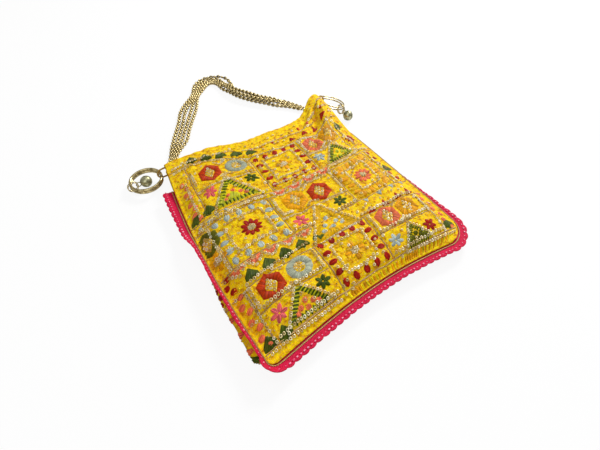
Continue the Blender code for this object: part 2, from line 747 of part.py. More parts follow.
def build_corner(prefix, side, height, far_height, bell_at):
    """A corner's two equal rings, lying one on the other, and the bell that hangs from both."""
    near = corner_ring_place(side, height)
    tilt = math.asin((far_height - height) / (2 * PULL_RING_RADIUS))
    out = Vector((side * math.cos(tilt), 0.0, math.sin(tilt)))
    normal = Vector((-side * math.sin(tilt), 0.0, math.cos(tilt)))
    step = (2 * RING_WIRE + GAP) / math.cos(tilt) * Z_UP
    hinge = pivot(f"{prefix}_ring_hinge", near)
    middle = near + PULL_RING_RADIUS * out
    for level, shift in (("lower", 0.0), ("upper", 1.0)):
        points = ring_points(middle + shift * step, normal, -out, PULL_RING_RADIUS, 26)
        sweep(f"{prefix}_pull_ring_{level}", points, [RING_WIRE] * 26, 6, normal, True, "brass", hinge)
    radial, way, tangent = bell_at(out)
    wire = middle + PULL_RING_RADIUS * radial + step / 2
    build_bell(prefix, wire, tangent, way, normal, pivot(f"{prefix}_bell_hinge", wire))


# Chain handle


def tab_place(s):
    """The middle of a tab, on the hinge line that both tabs share behind the mouth."""
    return Vector((plan(s, 1.0)[0], HEIGHT / 2 + CASING_HEIGHT / 2 + GAP + TAB_OUTER, CHAIN_Z))


def build_tab(prefix, s):
    """A short cloth loop, sewn behind the mouth, which holds the chain's end ring."""
    middle = tab_place(s)
    bm = bmesh.new()
    sides = 12
    corners = ((TAB_INNER, -0.5), (TAB_OUTER, -0.5), (TAB_OUTER, 0.5), (TAB_INNER, 0.5))
    rings = []
    for k in range(sides):
        angle = math.tau * (k + 0.5) / sides
        ring = []
        for radius, along in corners:
            place = Vector((TAB_WIDTH * along, radius * math.cos(angle), radius * math.sin(angle)))
            ring.append(bm.verts.new(middle + place))
        rings.append(ring)
    for first, second in zip(rings, rings[1:] + rings[:1]):
        bridge(bm, first + first[:1], second + second[:1])
    finish(f"{prefix}_chain_tab", bm, ["cloth_yellow"])


def smooth_line(points, step):
    """Points, about a step apart, of a smooth curve through those given."""
    points = [Vector(p) for p in points]
    points = [2 * points[0] - points[1]] + points + [2 * points[-1] - points[-2]]
    line = []
    for a, b, c, d in zip(points, points[1:], points[2:], points[3:]):
        steps = max(2, round((c - b).length / step))
        for k in range(steps):
            q = k / steps
            bend = (2 * a - 5 * b + 4 * c - d) * q**2 + (3 * b - a - 3 * c + d) * q**3
            line.append(b + ((c - a) * q + bend) / 2)
    line.append(points[-2])
    return np.array(line)


def chain_line(rings):
    """The handle's middle line, from just outside one end ring to just outside the other."""
    left, right = rings
    middle = (left + right) / 2
    line = []
    for near, points in ((left, CHAIN_LEFT), (middle, CHAIN_APEX), (right, CHAIN_RIGHT)):
        line += [near + Vector(p) for p in points]
    reach = CHAIN_RING_RADIUS + CHAIN_RING_WIRE + GAP
    first = left + reach * (line[0] - left).normalized()
    last = right + reach * (line[-1] - right).normalized()
    return smooth_line([first, *line, last], CHAIN_STEP)


def strand_place(strand, share, thin):
    """Where a strand lies from the handle's middle line: sideways, and up where the four are twisted."""
    side = -1 if strand < STRANDS / 2 else 1
    twist = smooth_step(*TWIST_START, share) * (1 - smooth_step(*TWIST_END, share)) * math.pi / 2
    if strand in (0, STRANDS - 1):
        return side * (0.5 + math.cos(twist)) * STRAND_PITCH * thin, 0.0
    return side * 0.5 * STRAND_PITCH * thin, STRAND_PITCH * math.sin(twist)


def build_chain():
    """Two end rings and four strands of beads, flat side by side on the left and two by two on the right."""
    hinge = pivot("handle_hinge", (0.0, tab_place(0.0).y, CHAIN_Z))
    middles = []
    for prefix, s in (("left", TAB_LEFT_S), ("right", TAB_RIGHT_S)):
        middle = tab_place(s) + Vector((0.0, CHAIN_RING_RADIUS, 0.0))
        points = ring_points(middle, Z_UP, (0, -1, 0), CHAIN_RING_RADIUS, 16)
        sweep(f"{prefix}_chain_ring", points, [CHAIN_RING_WIRE] * 16, 6, Z_UP, True, "brass", hinge)
        middles.append(middle.xy)
    line, ways, along = resample(chain_line(middles), BEAD / 2)
    total = along[-1]
    for strand in range(STRANDS):
        points, radii = [], []
        for k, (point, way, at) in enumerate(zip(line, ways, along)):
            thin = mix(STRAND_END, 1.0, smooth_step(0.0, STRAND_TAPER, float(min(at, total - at))))
            across, up = strand_place(strand, at / total, thin)
            points.append((point[0] + way[1] * across, point[1] - way[0] * across, CHAIN_Z + up))
            radii.append((STRAND_RADIUS if k % 2 else STRAND_NECK) * thin)
        sweep(f"chain_strand_{strand + 1}", points, radii, 6, Z_UP, False, "brass", hinge)


def clear_scene():
    for old in list(bpy.data.objects):
        bpy.data.objects.remove(old, do_unlink=True)


def build():
    clear_scene()
    build_panels()
    build_lining()
    build_lace()
    build_drawstring()
    for prefix, s in (("left", TAB_LEFT_S), ("right", TAB_RIGHT_S)):
        build_tab(prefix, s)
    build_chain()
    on_jump_rings = JUMP_RING_RADIUS + JUMP_RING_WIRE - RING_WIRE - GAP / 2 + GROUND_GAP
    on_ground = RING_WIRE + GROUND_GAP
    y_way = Vector((0, 1, 0))
    build_corner("left", -1, LEFT_RING_Z, on_jump_rings, lambda out: (out, -out, y_way))
    build_corner("right", 1, RIGHT_RING_Z, on_ground, lambda out: (-y_way, -y_way, out))


build()
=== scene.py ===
"""Looks of a potli pouch of embroidered patchwork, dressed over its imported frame.

Places are in metres in the frame. The cloth has its own coordinates in millimetres, as if it lay flat: p runs
across it from its middle line, q runs up from its bottom seam.
"""

import math

import bpy
import numpy as np
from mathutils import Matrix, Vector


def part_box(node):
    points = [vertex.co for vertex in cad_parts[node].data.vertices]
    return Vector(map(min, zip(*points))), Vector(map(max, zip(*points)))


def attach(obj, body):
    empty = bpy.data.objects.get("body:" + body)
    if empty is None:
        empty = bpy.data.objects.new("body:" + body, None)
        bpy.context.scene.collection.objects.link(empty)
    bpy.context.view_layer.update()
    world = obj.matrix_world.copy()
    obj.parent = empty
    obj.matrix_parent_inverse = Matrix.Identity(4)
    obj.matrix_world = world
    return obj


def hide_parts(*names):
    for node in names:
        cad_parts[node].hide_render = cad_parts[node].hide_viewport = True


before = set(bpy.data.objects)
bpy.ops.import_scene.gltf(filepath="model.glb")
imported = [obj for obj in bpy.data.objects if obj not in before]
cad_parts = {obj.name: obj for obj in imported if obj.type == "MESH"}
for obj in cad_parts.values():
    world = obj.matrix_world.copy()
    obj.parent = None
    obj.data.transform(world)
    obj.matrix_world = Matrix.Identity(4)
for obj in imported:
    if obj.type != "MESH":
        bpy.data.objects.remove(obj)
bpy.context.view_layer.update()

MM = 0.001
RANDOM = np.random.default_rng(7)

# The pouch, as the frame has it
BASE_WIDTH = 0.198
MOUTH_WIDTH = 0.184
HEIGHT = 0.222
LEAN = 0.023
BOW = 0.006
CORNER_RADII = 0.005, 0.017  # left, right
BASE_RISE = 0.0075  # how far the base bows up at its middle
BASE_TUCK = 0.0045  # how far the base's right end is drawn in
CLOTH = 0.0012
CROWN = 0.0125
CROWN_REACH = 0.055
SEAM_ALLOWANCE = 0.003
BACK_RISE = 0.0058  # height of the back at its seams
BACK_TURN = 0.018
BACK_OPENS = 0.78, 0.95  # shares of the height over which the raised seam comes down to the mouth
GAP = 0.0003
MOUTH_LINE = (  # share of the half width, height
    (-1.0, 0.2220), (-0.86, 0.2225), (-0.62, 0.2200), (-0.40, 0.2150), (-0.20, 0.2068), (0.0, 0.2045),
    (0.20, 0.2042), (0.50, 0.2030), (0.67, 0.2075), (0.85, 0.2200), (1.0, 0.2245),
)
CASING_HEIGHT = 0.005
CASING_DEPTH = 0.010
HEM_TOP = 0.0145
HEM_ARCH = 0.0035
HEM_BLEND = 0.68, 1.0  # shares of the height between which the crown passes into the hem
LIFT = 0.012
LIFT_CENTRE = 0.90
LIFT_SPAN = 0.17
GATHER_DEPTH = 0.0007  # of the small gathers that the drawstring makes under the hem
PLEAT_DEPTH = 0.0032
PLEAT_COUNT = 4
PLEAT_REACH = 0.085
WAVE_MARGIN = 0.013
LACE_THICKNESS = 0.0008
LACE_OUT = 0.0085
SCALLOP = 0.0066
SCALLOP_DEPTH = 0.0012
LACE_TOPS = 0.86, 0.73  # shares of the height where it ends, left and right
# Degrees that it stands up, everywhere and then on top of that at the left and at the top right
LACE_FLAT = 4
LACE_LEFT = 58
LACE_RIGHT = 40

FLAT = (BASE_WIDTH + MOUTH_WIDTH) / 2 / MM  # width of the cloth laid flat
TALL = HEIGHT / MM

# Camera, as found from the photograph's perspective
CAMERA_AT = (-0.1675, -0.219, 0.272)
CAMERA_PITCH = 47.0
CAMERA_TURN = 36.675
LENS = 25.8
SENSOR = 36.0


def mix(a, b, q):
    return a + (b - a) * q


def smooth_step(low, high, x):
    q = np.clip((x - low) / (high - low), 0.0, 1.0)
    return q * q * (3 - 2 * q)


def lengths_along(points):
    """How far along a line each of its points lies."""
    return np.concatenate([[0.0], np.cumsum(np.linalg.norm(np.diff(points, axis=0), axis=1))])


def directions(points):
    """The direction of an open line at each of its points."""
    way = np.gradient(points, axis=0)
    return way / np.linalg.norm(way, axis=1)[:, None]


def noise(p, q, scale, seed):
    """Smooth lumps about scale wide, from -1 to 1."""
    size = 128
    grid = np.random.default_rng(seed).uniform(-1, 1, (size, size))
    u, v = p / scale + 60.3, q / scale + 40.7
    i, j = np.floor(u).astype(int), np.floor(v).astype(int)
    a, b = smooth_step(0, 1, u - i), smooth_step(0, 1, v - j)
    low = mix(grid[i % size, j % size], grid[(i + 1) % size, j % size], a)
    high = mix(grid[i % size, (j + 1) % size], grid[(i + 1) % size, (j + 1) % size], a)
    return mix(low, high, b)


# The cloth's shape


def mouth_height(s):
    """Height of the mouth at a share of the half width."""
    places, heights = zip(*MOUTH_LINE)
    return sum(np.interp(s + shift, places, heights) for shift in (-0.08, -0.04, 0.0, 0.04, 0.08)) / 5


def half_width(s, up):
    """Half the pouch's width at a height, with its rounded corners."""
    half = mix(BASE_WIDTH, MOUTH_WIDTH, up / HEIGHT) / 2
    radius = np.where(np.asarray(s) < 0, *CORNER_RADII)
    low = np.clip(radius - up, 0, radius)
    return half - radius + np.sqrt(radius**2 - low**2)


def plan(s, t):
    """Where shares of the half width and of the height lie, seen from above."""
    up = t * mouth_height(s)
    bow = BOW * np.sin(math.pi * up / HEIGHT) * (1 - s) / 2
    low = (1 - np.clip(up / HEIGHT, 0, 1)) ** 3
    tuck = BASE_TUCK * np.clip(s, 0, 1) ** 2 * low
    x = s * half_width(s, up) + LEAN * (up / HEIGHT - 0.5) - bow - tuck
    return x, up - HEIGHT / 2 + BASE_RISE * np.cos(math.pi / 2 * np.clip(s, -1, 1)) * low


def from_edges(s, t):
    """Distances from the nearer side seam and from the base."""
    up = t * mouth_height(s)
    return (1 - np.abs(s)) * half_width(s, up), up


def hem_top(s):
    """Height of the top of the front's hem, which stands up at the right end."""
    return HEM_TOP + HEM_ARCH * (1 - s * s) + LIFT * np.exp(-(((s - LIFT_CENTRE) / LIFT_SPAN) ** 2))


def front_seam():
    """Height of the inner side of the front's cloth where it is sewn."""
    return BACK_RISE + CLOTH + GAP + LACE_THICKNESS + GAP


def swell(distance):
    """How far the crown has risen at a distance from a seam, from 0 to 1."""
    return 1 - (1 - np.clip((distance - SEAM_ALLOWANCE) / CROWN_REACH, 0, 1)) ** 3


def front_height(s, t, hem):
    """Height of the front's broad shape, which ends in a hem of the given height."""
    side, base = from_edges(s, t)
    dome = front_seam() + CLOTH + CROWN * swell(side) * swell(base)
    return mix(dome, hem, smooth_step(*HEM_BLEND, t))


def turned_up(side, base):
    """1 at the back's sewn edges, falling to 0 where it lies flat."""
    turn = (1 - np.clip(side / BACK_TURN, 0, 1)) ** 2
    return turn + (1 - turn) * (1 - np.clip(base / BACK_TURN, 0, 1)) ** 2


def to_sheet(p, q):
    """Shares of the half width and of the height for a place on the flat cloth."""
    return np.clip(2 * p / FLAT, -1, 1), np.clip(q / TALL, 0, 1)


def segment_distance(p, q, segments):
    """Distance in millimetres from each place to the nearest segment, and its share along that one."""
    best = np.full(np.shape(p), 1e9)
    share = np.zeros(np.shape(p))
    for (ap, aq), (bp, bq) in segments:
        run_p, run_q = bp - ap, bq - aq
        along = np.clip(((p - ap) * run_p + (q - aq) * run_q) / (run_p**2 + run_q**2), 0, 1)
        distance = np.hypot(p - ap - along * run_p, q - aq - along * run_q)
        nearer = distance < best
        best = np.where(nearer, distance, best)
        share = np.where(nearer, along, share)
    return best, share


# Creases on the flat cloth: start, end, height and half width
CREASES = (
    ((93, 216), (50, 152), 3.6, 4.5),
    ((84, 219), (36, 160), -3.2, 4.0),
    ((74, 218), (28, 176), 2.4, 4.5),
    ((95, 196), (66, 128), -2.8, 4.5),
    ((93, 186), (84, 120), 2.0, 5.0),
    ((62, 214), (36, 196), -1.6, 4.0),
    ((-84, 120), (-76, 20), 1.6, 6.0),
    ((-76, 36), (-40, 22), 1.8, 5.0),
    ((-66, 52), (-30, 60), -1.0, 6.0),
    ((-90, 205), (-60, 212), 1.0, 5.0),
    ((10, 12), (80, 10), 1.2, 5.0),
    ((-20, 70), (30, 62), -0.8, 7.0),
    ((30, 128), (80, 118), 0.9, 6.0),
)
# Millimetres
QUILT_WIDTH = 1.7
QUILT_DEPTH = 1.15
LUMPS = (0.85, 9.0, 1), (0.45, 4.2, 2), (0.15, 2.0, 3)  # height, size, seed


def relief(p, q, lines):
    """Height in metres that sewing, gathers and creases add to the cloth's broad shape."""
    seam, _ = segment_distance(p, q, lines)
    height = QUILT_DEPTH * (1 - np.exp(-((seam / QUILT_WIDTH) ** 2))) - QUILT_DEPTH / 2
    height += sum(high * noise(p, q, size, seed) for high, size, seed in LUMPS)
    for start, end, depth, wide in CREASES:
        distance, share = segment_distance(p, q, [(start, end)])
        fade = np.sin(math.pi * np.clip(share * 0.75 + 0.25, 0, 1)) ** 0.7
        height = height + depth * fade * np.exp(-((distance / wide) ** 2))
    return height * MM


def front(p, q, lines):
    """Place on the top of the front."""
    s, t = to_sheet(p, q)
    side, base = from_edges(s, t)
    x, y = plan(s, t)
    z = front_height(s, t, hem_top(s))
    corner_x, corner_y = plan(1.0, 1.0)
    across, down = corner_x - x, np.maximum(corner_y - y, 1e-6)
    reach = np.hypot(across, down)
    fan = np.sin(4 * PLEAT_COUNT * np.arctan2(across, down)) ** 2 * np.exp(-2 * (reach / PLEAT_REACH) ** 2)
    fan *= np.clip(4 * reach / PLEAT_REACH, 0, 1)
    inside = np.clip((side - SEAM_ALLOWANCE) / WAVE_MARGIN, 0, 1)
    inside *= np.clip((base - SEAM_ALLOWANCE) / WAVE_MARGIN, 0, 1)
    inside *= smooth_step(0.0, WAVE_MARGIN, (1 - t) * mouth_height(s))
    z = z + inside * (PLEAT_DEPTH * fan + relief(p, q, lines))
    gather = np.sin(p * 0.7 + 5.0 * noise(p, q, 17.0, 5)) * (1 + noise(p, q, 23.0, 6)) / 2
    z = z + GATHER_DEPTH * gather * smooth_step(0.86, 0.99, t)
    return np.stack([x, y, z], axis=-1)


BACK_LIFT = 0.0018  # of the cloth's skin above the ground, so that its stitches clear it
BULGE = 0.0120  # how far the back's cloth is pushed out beyond the standing lace
BULGE_CENTRE = 0.10
BULGE_SPAN = 0.38


def back(p, q, lines):
    """Place on the underside of the back."""
    s, t = to_sheet(p, q)
    side, base = from_edges(s, t)
    x, y = plan(s, t)
    turn = turned_up(side, base)
    z = BACK_LIFT + (BACK_RISE - BACK_LIFT) * turn * (1 - smooth_step(*BACK_OPENS, t))
    bulge = np.where(s < 0, np.exp(-(((t - BULGE_CENTRE) / BULGE_SPAN) ** 4)), 0.0)
    bulge = bulge * smooth_step(0.0, 0.006, side) * (1 - smooth_step(0.008, 0.045, side))
    bulge = bulge * smooth_step(0.0, 0.012, base)
    x = x - BULGE * bulge * (1 + 0.12 * noise(p, q, 12.0, 8))
    edge = smooth_step(0.0, 0.6, turn) * (1 - smooth_step(0.9, 1.0, turn))
    z = z + edge * 0.0004 * noise(p, q, 5.0, 9)
    return np.stack([x, y, z], axis=-1)


def drape(surface, p, q, height, outside, lines):
    """Places a height in metres above a surface. outside is 1 where its outer face looks up."""
    step = 0.5
    here = surface(p, q, lines)
    across = surface(p + step, q, lines) - surface(p - step, q, lines)
    up = surface(p, q + step, lines) - surface(p, q - step, lines)
    normal = np.cross(across, up) * outside
    normal /= np.maximum(np.linalg.norm(normal, axis=-1, keepdims=True), 1e-12)
    return here + normal * np.asarray(height)[..., None]


# Meshes


def make_piece(name, verts, faces, materials, body, node=None, indices=None, stitch=None):
    """A piece that rides on a body, takes its finish from a slot and may stand for a node of the frame."""
    mesh = bpy.data.meshes.new(name)
    mesh.from_pydata(np.reshape(verts, (-1, 3)).tolist(), [], faces)
    for entry in materials:
        mesh.materials.append(entry)
    if indices is not None:
        mesh.polygons.foreach_set("material_index", np.asarray(indices, dtype=np.int32))
    if stitch is not None:
        layer = mesh.attributes.new("stitch", "FLOAT_VECTOR", "POINT")
        layer.data.foreach_set("vector", np.asarray(stitch, dtype=np.float32).ravel())
    mesh.shade_smooth()
    mesh.update()
    piece = bpy.data.objects.new(name, mesh)
    bpy.context.collection.objects.link(piece)
    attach(piece, body)
    if node is not None:
        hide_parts(node)
    return piece


def grid_faces(rows, columns, closed_rows=False, closed_columns=False, flip=False):
    """Quads of a grid of vertices counted row by row."""
    i = np.arange(rows if closed_rows else rows - 1)
    j = np.arange(columns if closed_columns else columns - 1)
    i, j = np.meshgrid(i, j, indexing="ij")
    a = i * columns + j
    b = i * columns + (j + 1) % columns
    c = ((i + 1) % rows) * columns + (j + 1) % columns
    d = ((i + 1) % rows) * columns + j
    quads = np.stack([a, d, c, b] if flip else [a, b, c, d], axis=-1)
    return quads.reshape(-1, 4).tolist()


def solidify(piece, thickness, offset=-1):
    """Gives a sheet its thickness, inwards, or to both sides where offset is 0."""
    wall = piece.modifiers.new("thickness", "SOLIDIFY")
    wall.thickness = thickness
    wall.offset = offset


# Materials


class Nodes:
    """A short way to write a material's nodes."""

    def __init__(self, name):
        self.material = bpy.data.materials.new(name)
        self.material.use_nodes = True
        self.tree = self.material.node_tree
        self.shader = self.tree.nodes["Principled BSDF"]

    def add(self, kind, values=(), **settings):
        node = self.tree.nodes.new(kind)
        for key, value in settings.items():
            setattr(node, key, value)
        for key, value in dict(values).items():
            self.feed(node.inputs[key], value)
        return node

    def feed(self, socket, value):
        if isinstance(value, bpy.types.NodeSocket):
            self.tree.links.new(value, socket)
        else:
            socket.default_value = value

    def math(self, operation, a, b=0.0):
        return self.add("ShaderNodeMath", {0: a, 1: b}, operation=operation).outputs[0]

    def halved(self, wave):
        """A number from -1 to 1 brought to 0 to 1."""
        values = {0: wave, 1: 0.5, 2: 0.5}
        return self.add("ShaderNodeMath", values, operation="MULTIPLY_ADD").outputs[0]

    def sine(self, value, pitch):
        return self.math("SINE", self.math("MULTIPLY", value, math.tau / pitch))

    def stitch(self):
        """What the mesh says of its threads: the vector, then its parts along, across and tone."""
        settings = {"attribute_name": "stitch", "attribute_type": "GEOMETRY"}
        vector = self.add("ShaderNodeAttribute", **settings).outputs["Vector"]
        return vector, *self.add("ShaderNodeSeparateXYZ", {0: vector}).outputs

    def coordinate(self, scale):
        place = self.add("ShaderNodeTexCoord").outputs["Object"]
        return self.add("ShaderNodeMapping", {"Vector": place, "Scale": scale}).outputs[0]

    def noise(self, scale, detail=2.0, vector=None):
        """Noise from 0 to 1 with so many lumps a metre."""
        vector = vector or self.add("ShaderNodeTexCoord").outputs["Object"]
        return self.add("ShaderNodeTexNoise", {"Vector": vector, "Scale": scale, "Detail": detail}).outputs[0]

    def ramp(self, factor, *stops):
        node = self.add("ShaderNodeValToRGB", {"Fac": factor})
        elements = node.color_ramp.elements
        for _ in stops[2:]:
            elements.new(0.5)
        for element, (place, colour) in zip(elements, stops):
            element.position = place
            element.color = (*colour, 1.0)
        return node.outputs[0]

    def shade(self, factor, low, high):
        """A number made from a factor from 0 to 1."""
        return self.add("ShaderNodeMapRange", {"Value": factor, "To Min": low, "To Max": high}).outputs[0]

    def scaled(self, colour, factor):
        """A colour times a number."""
        return self.add("ShaderNodeVectorMath", {0: colour, "Scale": factor}, operation="SCALE").outputs[0]

    def blend(self, factor, a, b):
        node = self.add("ShaderNodeMix", {0: factor}, data_type="RGBA")
        self.feed(node.inputs[6], a)
        self.feed(node.inputs[7], b)
        return node.outputs[2]

    def bump(self, height, distance, strength=1.0):
        node = self.add("ShaderNodeBump", {"Height": height, "Distance": distance, "Strength": strength})
        self.feed(self.shader.inputs["Normal"], node.outputs[0])

    def finish(self, colour, roughness, metallic=0.0, sheen=0.0, specular=0.5):
        self.feed(self.shader.inputs["Base Color"], colour)
        self.feed(self.shader.inputs["Roughness"], roughness)
        self.shader.inputs["Metallic"].default_value = metallic
        self.shader.inputs["Sheen Weight"].default_value = sheen
        self.shader.inputs["Specular IOR Level"].default_value = specular
        return self.material


def linear(code):
    """A colour written as six hex digits, as the shaders want it."""
    parts = (int(code[k : k + 2], 16) / 255 for k in (0, 2, 4))
    return tuple(c / 12.92 if c <= 0.04045 else ((c + 0.055) / 1.055) ** 2.4 for c in parts)


def cloth_material(name, bright, middle, dark, speck):
    """Yellow cloth filled in with running stitches, so mottled in patches and in specks."""
    n = Nodes(name)
    patches = n.noise(330.0, 4.0)
    colour = n.ramp(patches, (0.33, dark), (0.44, middle), (0.60, bright))
    specks = n.noise(760.0, 1.0)
    mask = n.ramp(specks, (0.56, (0, 0, 0)), (0.66, (1, 1, 1)))
    colour = n.blend(n.math("MULTIPLY", mask, 0.62), colour, (*speck, 1.0))
    along = n.coordinate((2600.0, 300.0, 2600.0))
    threads = n.add("ShaderNodeTexNoise", {"Vector": along, "Scale": 1.0, "Detail": 1.0}).outputs[0]
    colour = n.scaled(colour, n.shade(threads, 0.78, 1.16))
    height = n.math("ADD", threads, n.math("MULTIPLY", specks, 1.4))
    n.bump(height, 0.00045, 0.8)
    return n.finish(colour, n.shade(threads, 0.6, 0.85), specular=0.1)


# Pitches in millimetres. The thread's is wider than a real one, so that it shows
THREAD_PITCH = 0.85
BRAID_PITCH = 1.3
LACE_LOOP = 1.1
LACE_ROW = 1.7
COTTON_PITCH = 0.0006  # this one in metres


def thread_material(name, colour):
    """Satin stitches that lie side by side along their own direction."""
    n = Nodes(name)
    stitch, _, across, tone = n.stitch()
    wobble = n.math("MULTIPLY", n.noise(0.35, 1.0, stitch), 1.1)
    thread = n.halved(n.sine(n.math("ADD", across, wobble), THREAD_PITCH))
    streak_at = n.add("ShaderNodeMapping", {"Vector": stitch, "Scale": (0.10, 1.0, 7.0)}).outputs[0]
    streak = n.noise(1.0, 2.0, streak_at)
    light = n.math("MULTIPLY", n.shade(thread, 0.70, 1.12), n.shade(streak, -0.15, 2.0))
    light = n.math("MULTIPLY", light, n.shade(tone, 0.88, 1.12))
    n.bump(n.math("ADD", thread, streak), 0.00025, 0.9)
    return n.finish(n.scaled(colour, light), 0.42, specular=0.14)


def braid_material(name, light, dark):
    """Twisted metallic thread."""
    n = Nodes(name)
    _, along, across, _ = n.stitch()
    twist = n.halved(n.sine(n.math("ADD", along, across), BRAID_PITCH))
    shine = n.math("MULTIPLY", twist, n.shade(n.noise(500.0), 0.5, 1.3))
    colour = n.blend(shine, (*dark, 1.0), (*light, 1.0))
    n.bump(twist, 0.0002, 1.0)
    return n.finish(colour, 0.45, metallic=0.35)


def sequin_material():
    n = Nodes("cup_sequins")
    tone = n.stitch()[3]
    colour = n.ramp(tone, (0.0, linear("BE9A4C")), (0.45, linear("E4CE8E")), (1.0, linear("FBF4D4")))
    return n.finish(colour, n.shade(n.noise(900.0), 0.2, 0.4), metallic=0.1, specular=0.9)


def lace_material():
    """Crocheted pink yarn: rows of small loops, with painted shade between them."""
    n = Nodes("pink_lace")
    _, along, across, _ = n.stitch()
    grid = n.halved(n.math("MULTIPLY", n.sine(along, LACE_LOOP), n.sine(across, LACE_ROW)))
    blotch = n.noise(420.0, 2.0)
    # the loops' grid paints shade between the loops, and the blotches vary the yarn's tone at random
    yarn_and_painted_shade = n.math("MULTIPLY", n.shade(grid, 0.35, 1.0), n.shade(blotch, 0.6, 1.3))
    colour = n.ramp(yarn_and_painted_shade, (0.18, linear("6E0014")), (0.5, linear("C80034")), (0.95, linear("EC0C50")))
    n.bump(n.math("ADD", grid, n.math("MULTIPLY", blotch, 0.5)), 0.0003, 0.9)
    return n.finish(colour, 0.6, specular=0.2)


def pearl_material():
    n = Nodes("pearly_pink")
    colour = n.ramp(n.noise(600.0), (0.35, linear("F03C72")), (0.62, linear("FFA8C0")))
    return n.finish(colour, 0.25, specular=0.7)


def metal_material(name, light, dark, roughness):
    """Plated metal with dull patches and fine scratches."""
    n = Nodes(name)
    metal_tone = n.noise(310.0, 4.0)
    colour = n.ramp(metal_tone, (0.3, dark), (0.62, light))
    scratched = n.noise(1.0, 2.0, n.coordinate((300.0, 4000.0, 900.0)))
    n.bump(scratched, 0.00002, 0.5)
    return n.finish(colour, n.shade(metal_tone, roughness + 0.14, roughness), metallic=0.92)


def patina_and_shade_material(name, bright, middle, dark):
    """Links bright where they stand out and dark in their hollows: polish and painted highlight outside,
    patina and painted shade within.
    """
    n = Nodes(name)
    tone = n.stitch()[3]
    # the mesh's tone paints highlight on the links' outer flanks and shade in their hollows, along with
    # polish and patina
    metal_tone = n.math("MULTIPLY", tone, n.shade(n.noise(400.0, 2.0), 0.8, 1.2))
    colour = n.ramp(metal_tone, (0.30, dark), (0.62, middle), (0.92, bright))
    return n.finish(colour, n.shade(metal_tone, 0.55, 0.3), metallic=0.75)


def plain_cotton(name, light, dark):
    """Plain weave in the frame's own X and Y."""
    n = Nodes(name)
    x, y, z = n.add("ShaderNodeSeparateXYZ", {0: n.add("ShaderNodeTexCoord").outputs["Object"]}).outputs
    warp, weft = n.sine(n.math("ADD", x, z), COTTON_PITCH), n.sine(y, COTTON_PITCH)
    weave = n.halved(n.math("MULTIPLY", warp, weft))
    blotch = n.noise(90.0, 3.0)
    colour = n.blend(n.math("MULTIPLY", weave, blotch), (*dark, 1.0), (*light, 1.0))
    n.bump(weave, 0.0001, 0.8)
    return n.finish(colour, 0.85, sheen=0.15, specular=0.2)


THREADS = {
    "rust": "CC3C00",
    "coral": "F87A4C",
    "amber": "F2A600",
    "gold": "F6BC00",
    "lemon": "F8DC00",
    "cream": "E4CE90",
    "olive": "646400",
    "green": "4A5A02",
    "grey": "BCC2A8",
    "pink": "F4686A",
    "red": "B01C00",
    "blue": "B9C6BE",
    "lime": "C8C814",
}
YELLOW_CLOTH = cloth_material(
    "yellow_cloth", linear("FADA00"), linear("EEB800"), linear("C58200"), linear("CFA050")
)
BRAID = braid_material("gold_braid", linear("D8B878"), linear("8A5A24"))
STITCHERY = [BRAID] + [thread_material(f"thread_{name}", linear(code)) for name, code in THREADS.items()]
COLOUR_INDEX = {name: k + 1 for k, name in enumerate(THREADS)}
SEQUINS = sequin_material()
PINK_LACE = lace_material()
BRASS = metal_material("antique_brass", linear("EBD9A4"), linear("7A6630"), 0.2)
# brass for the links: patina and painted shade in their hollows, polish and painted highlight on their outer
# flanks
LINK_BRASS = patina_and_shade_material("link_brass", linear("E8D49C"), linear("9A8448"), linear("2E240C"))
BELL_METAL = metal_material("bell_metal", linear("C9C6A0"), linear("6F6C48"), 0.30)
COTTON = plain_cotton("lining_cotton", linear("E8C860"), linear("B98F2C"))
CORD = braid_material("yellow_cord", linear("F0C860"), linear("A87820"))


# Embroidery. Every place below is in millimetres on the flat cloth
SEQUIN_RADIUS = 1.2
SEQUIN_STEP = 3.0  # from one to the next along a row
SEQUIN_APART = 2.15  # the least between any two
SEQUIN_SIDES = 9
RECENT = 260  # how many of the last sequins a new one is held against
BRAID_STEP = 0.9  # from one point of its line to the next
BRAID_WIDTH = 1.25
BRAID_HEIGHT = 0.55
RUN_APART = 3.1  # from one running stitch to the next


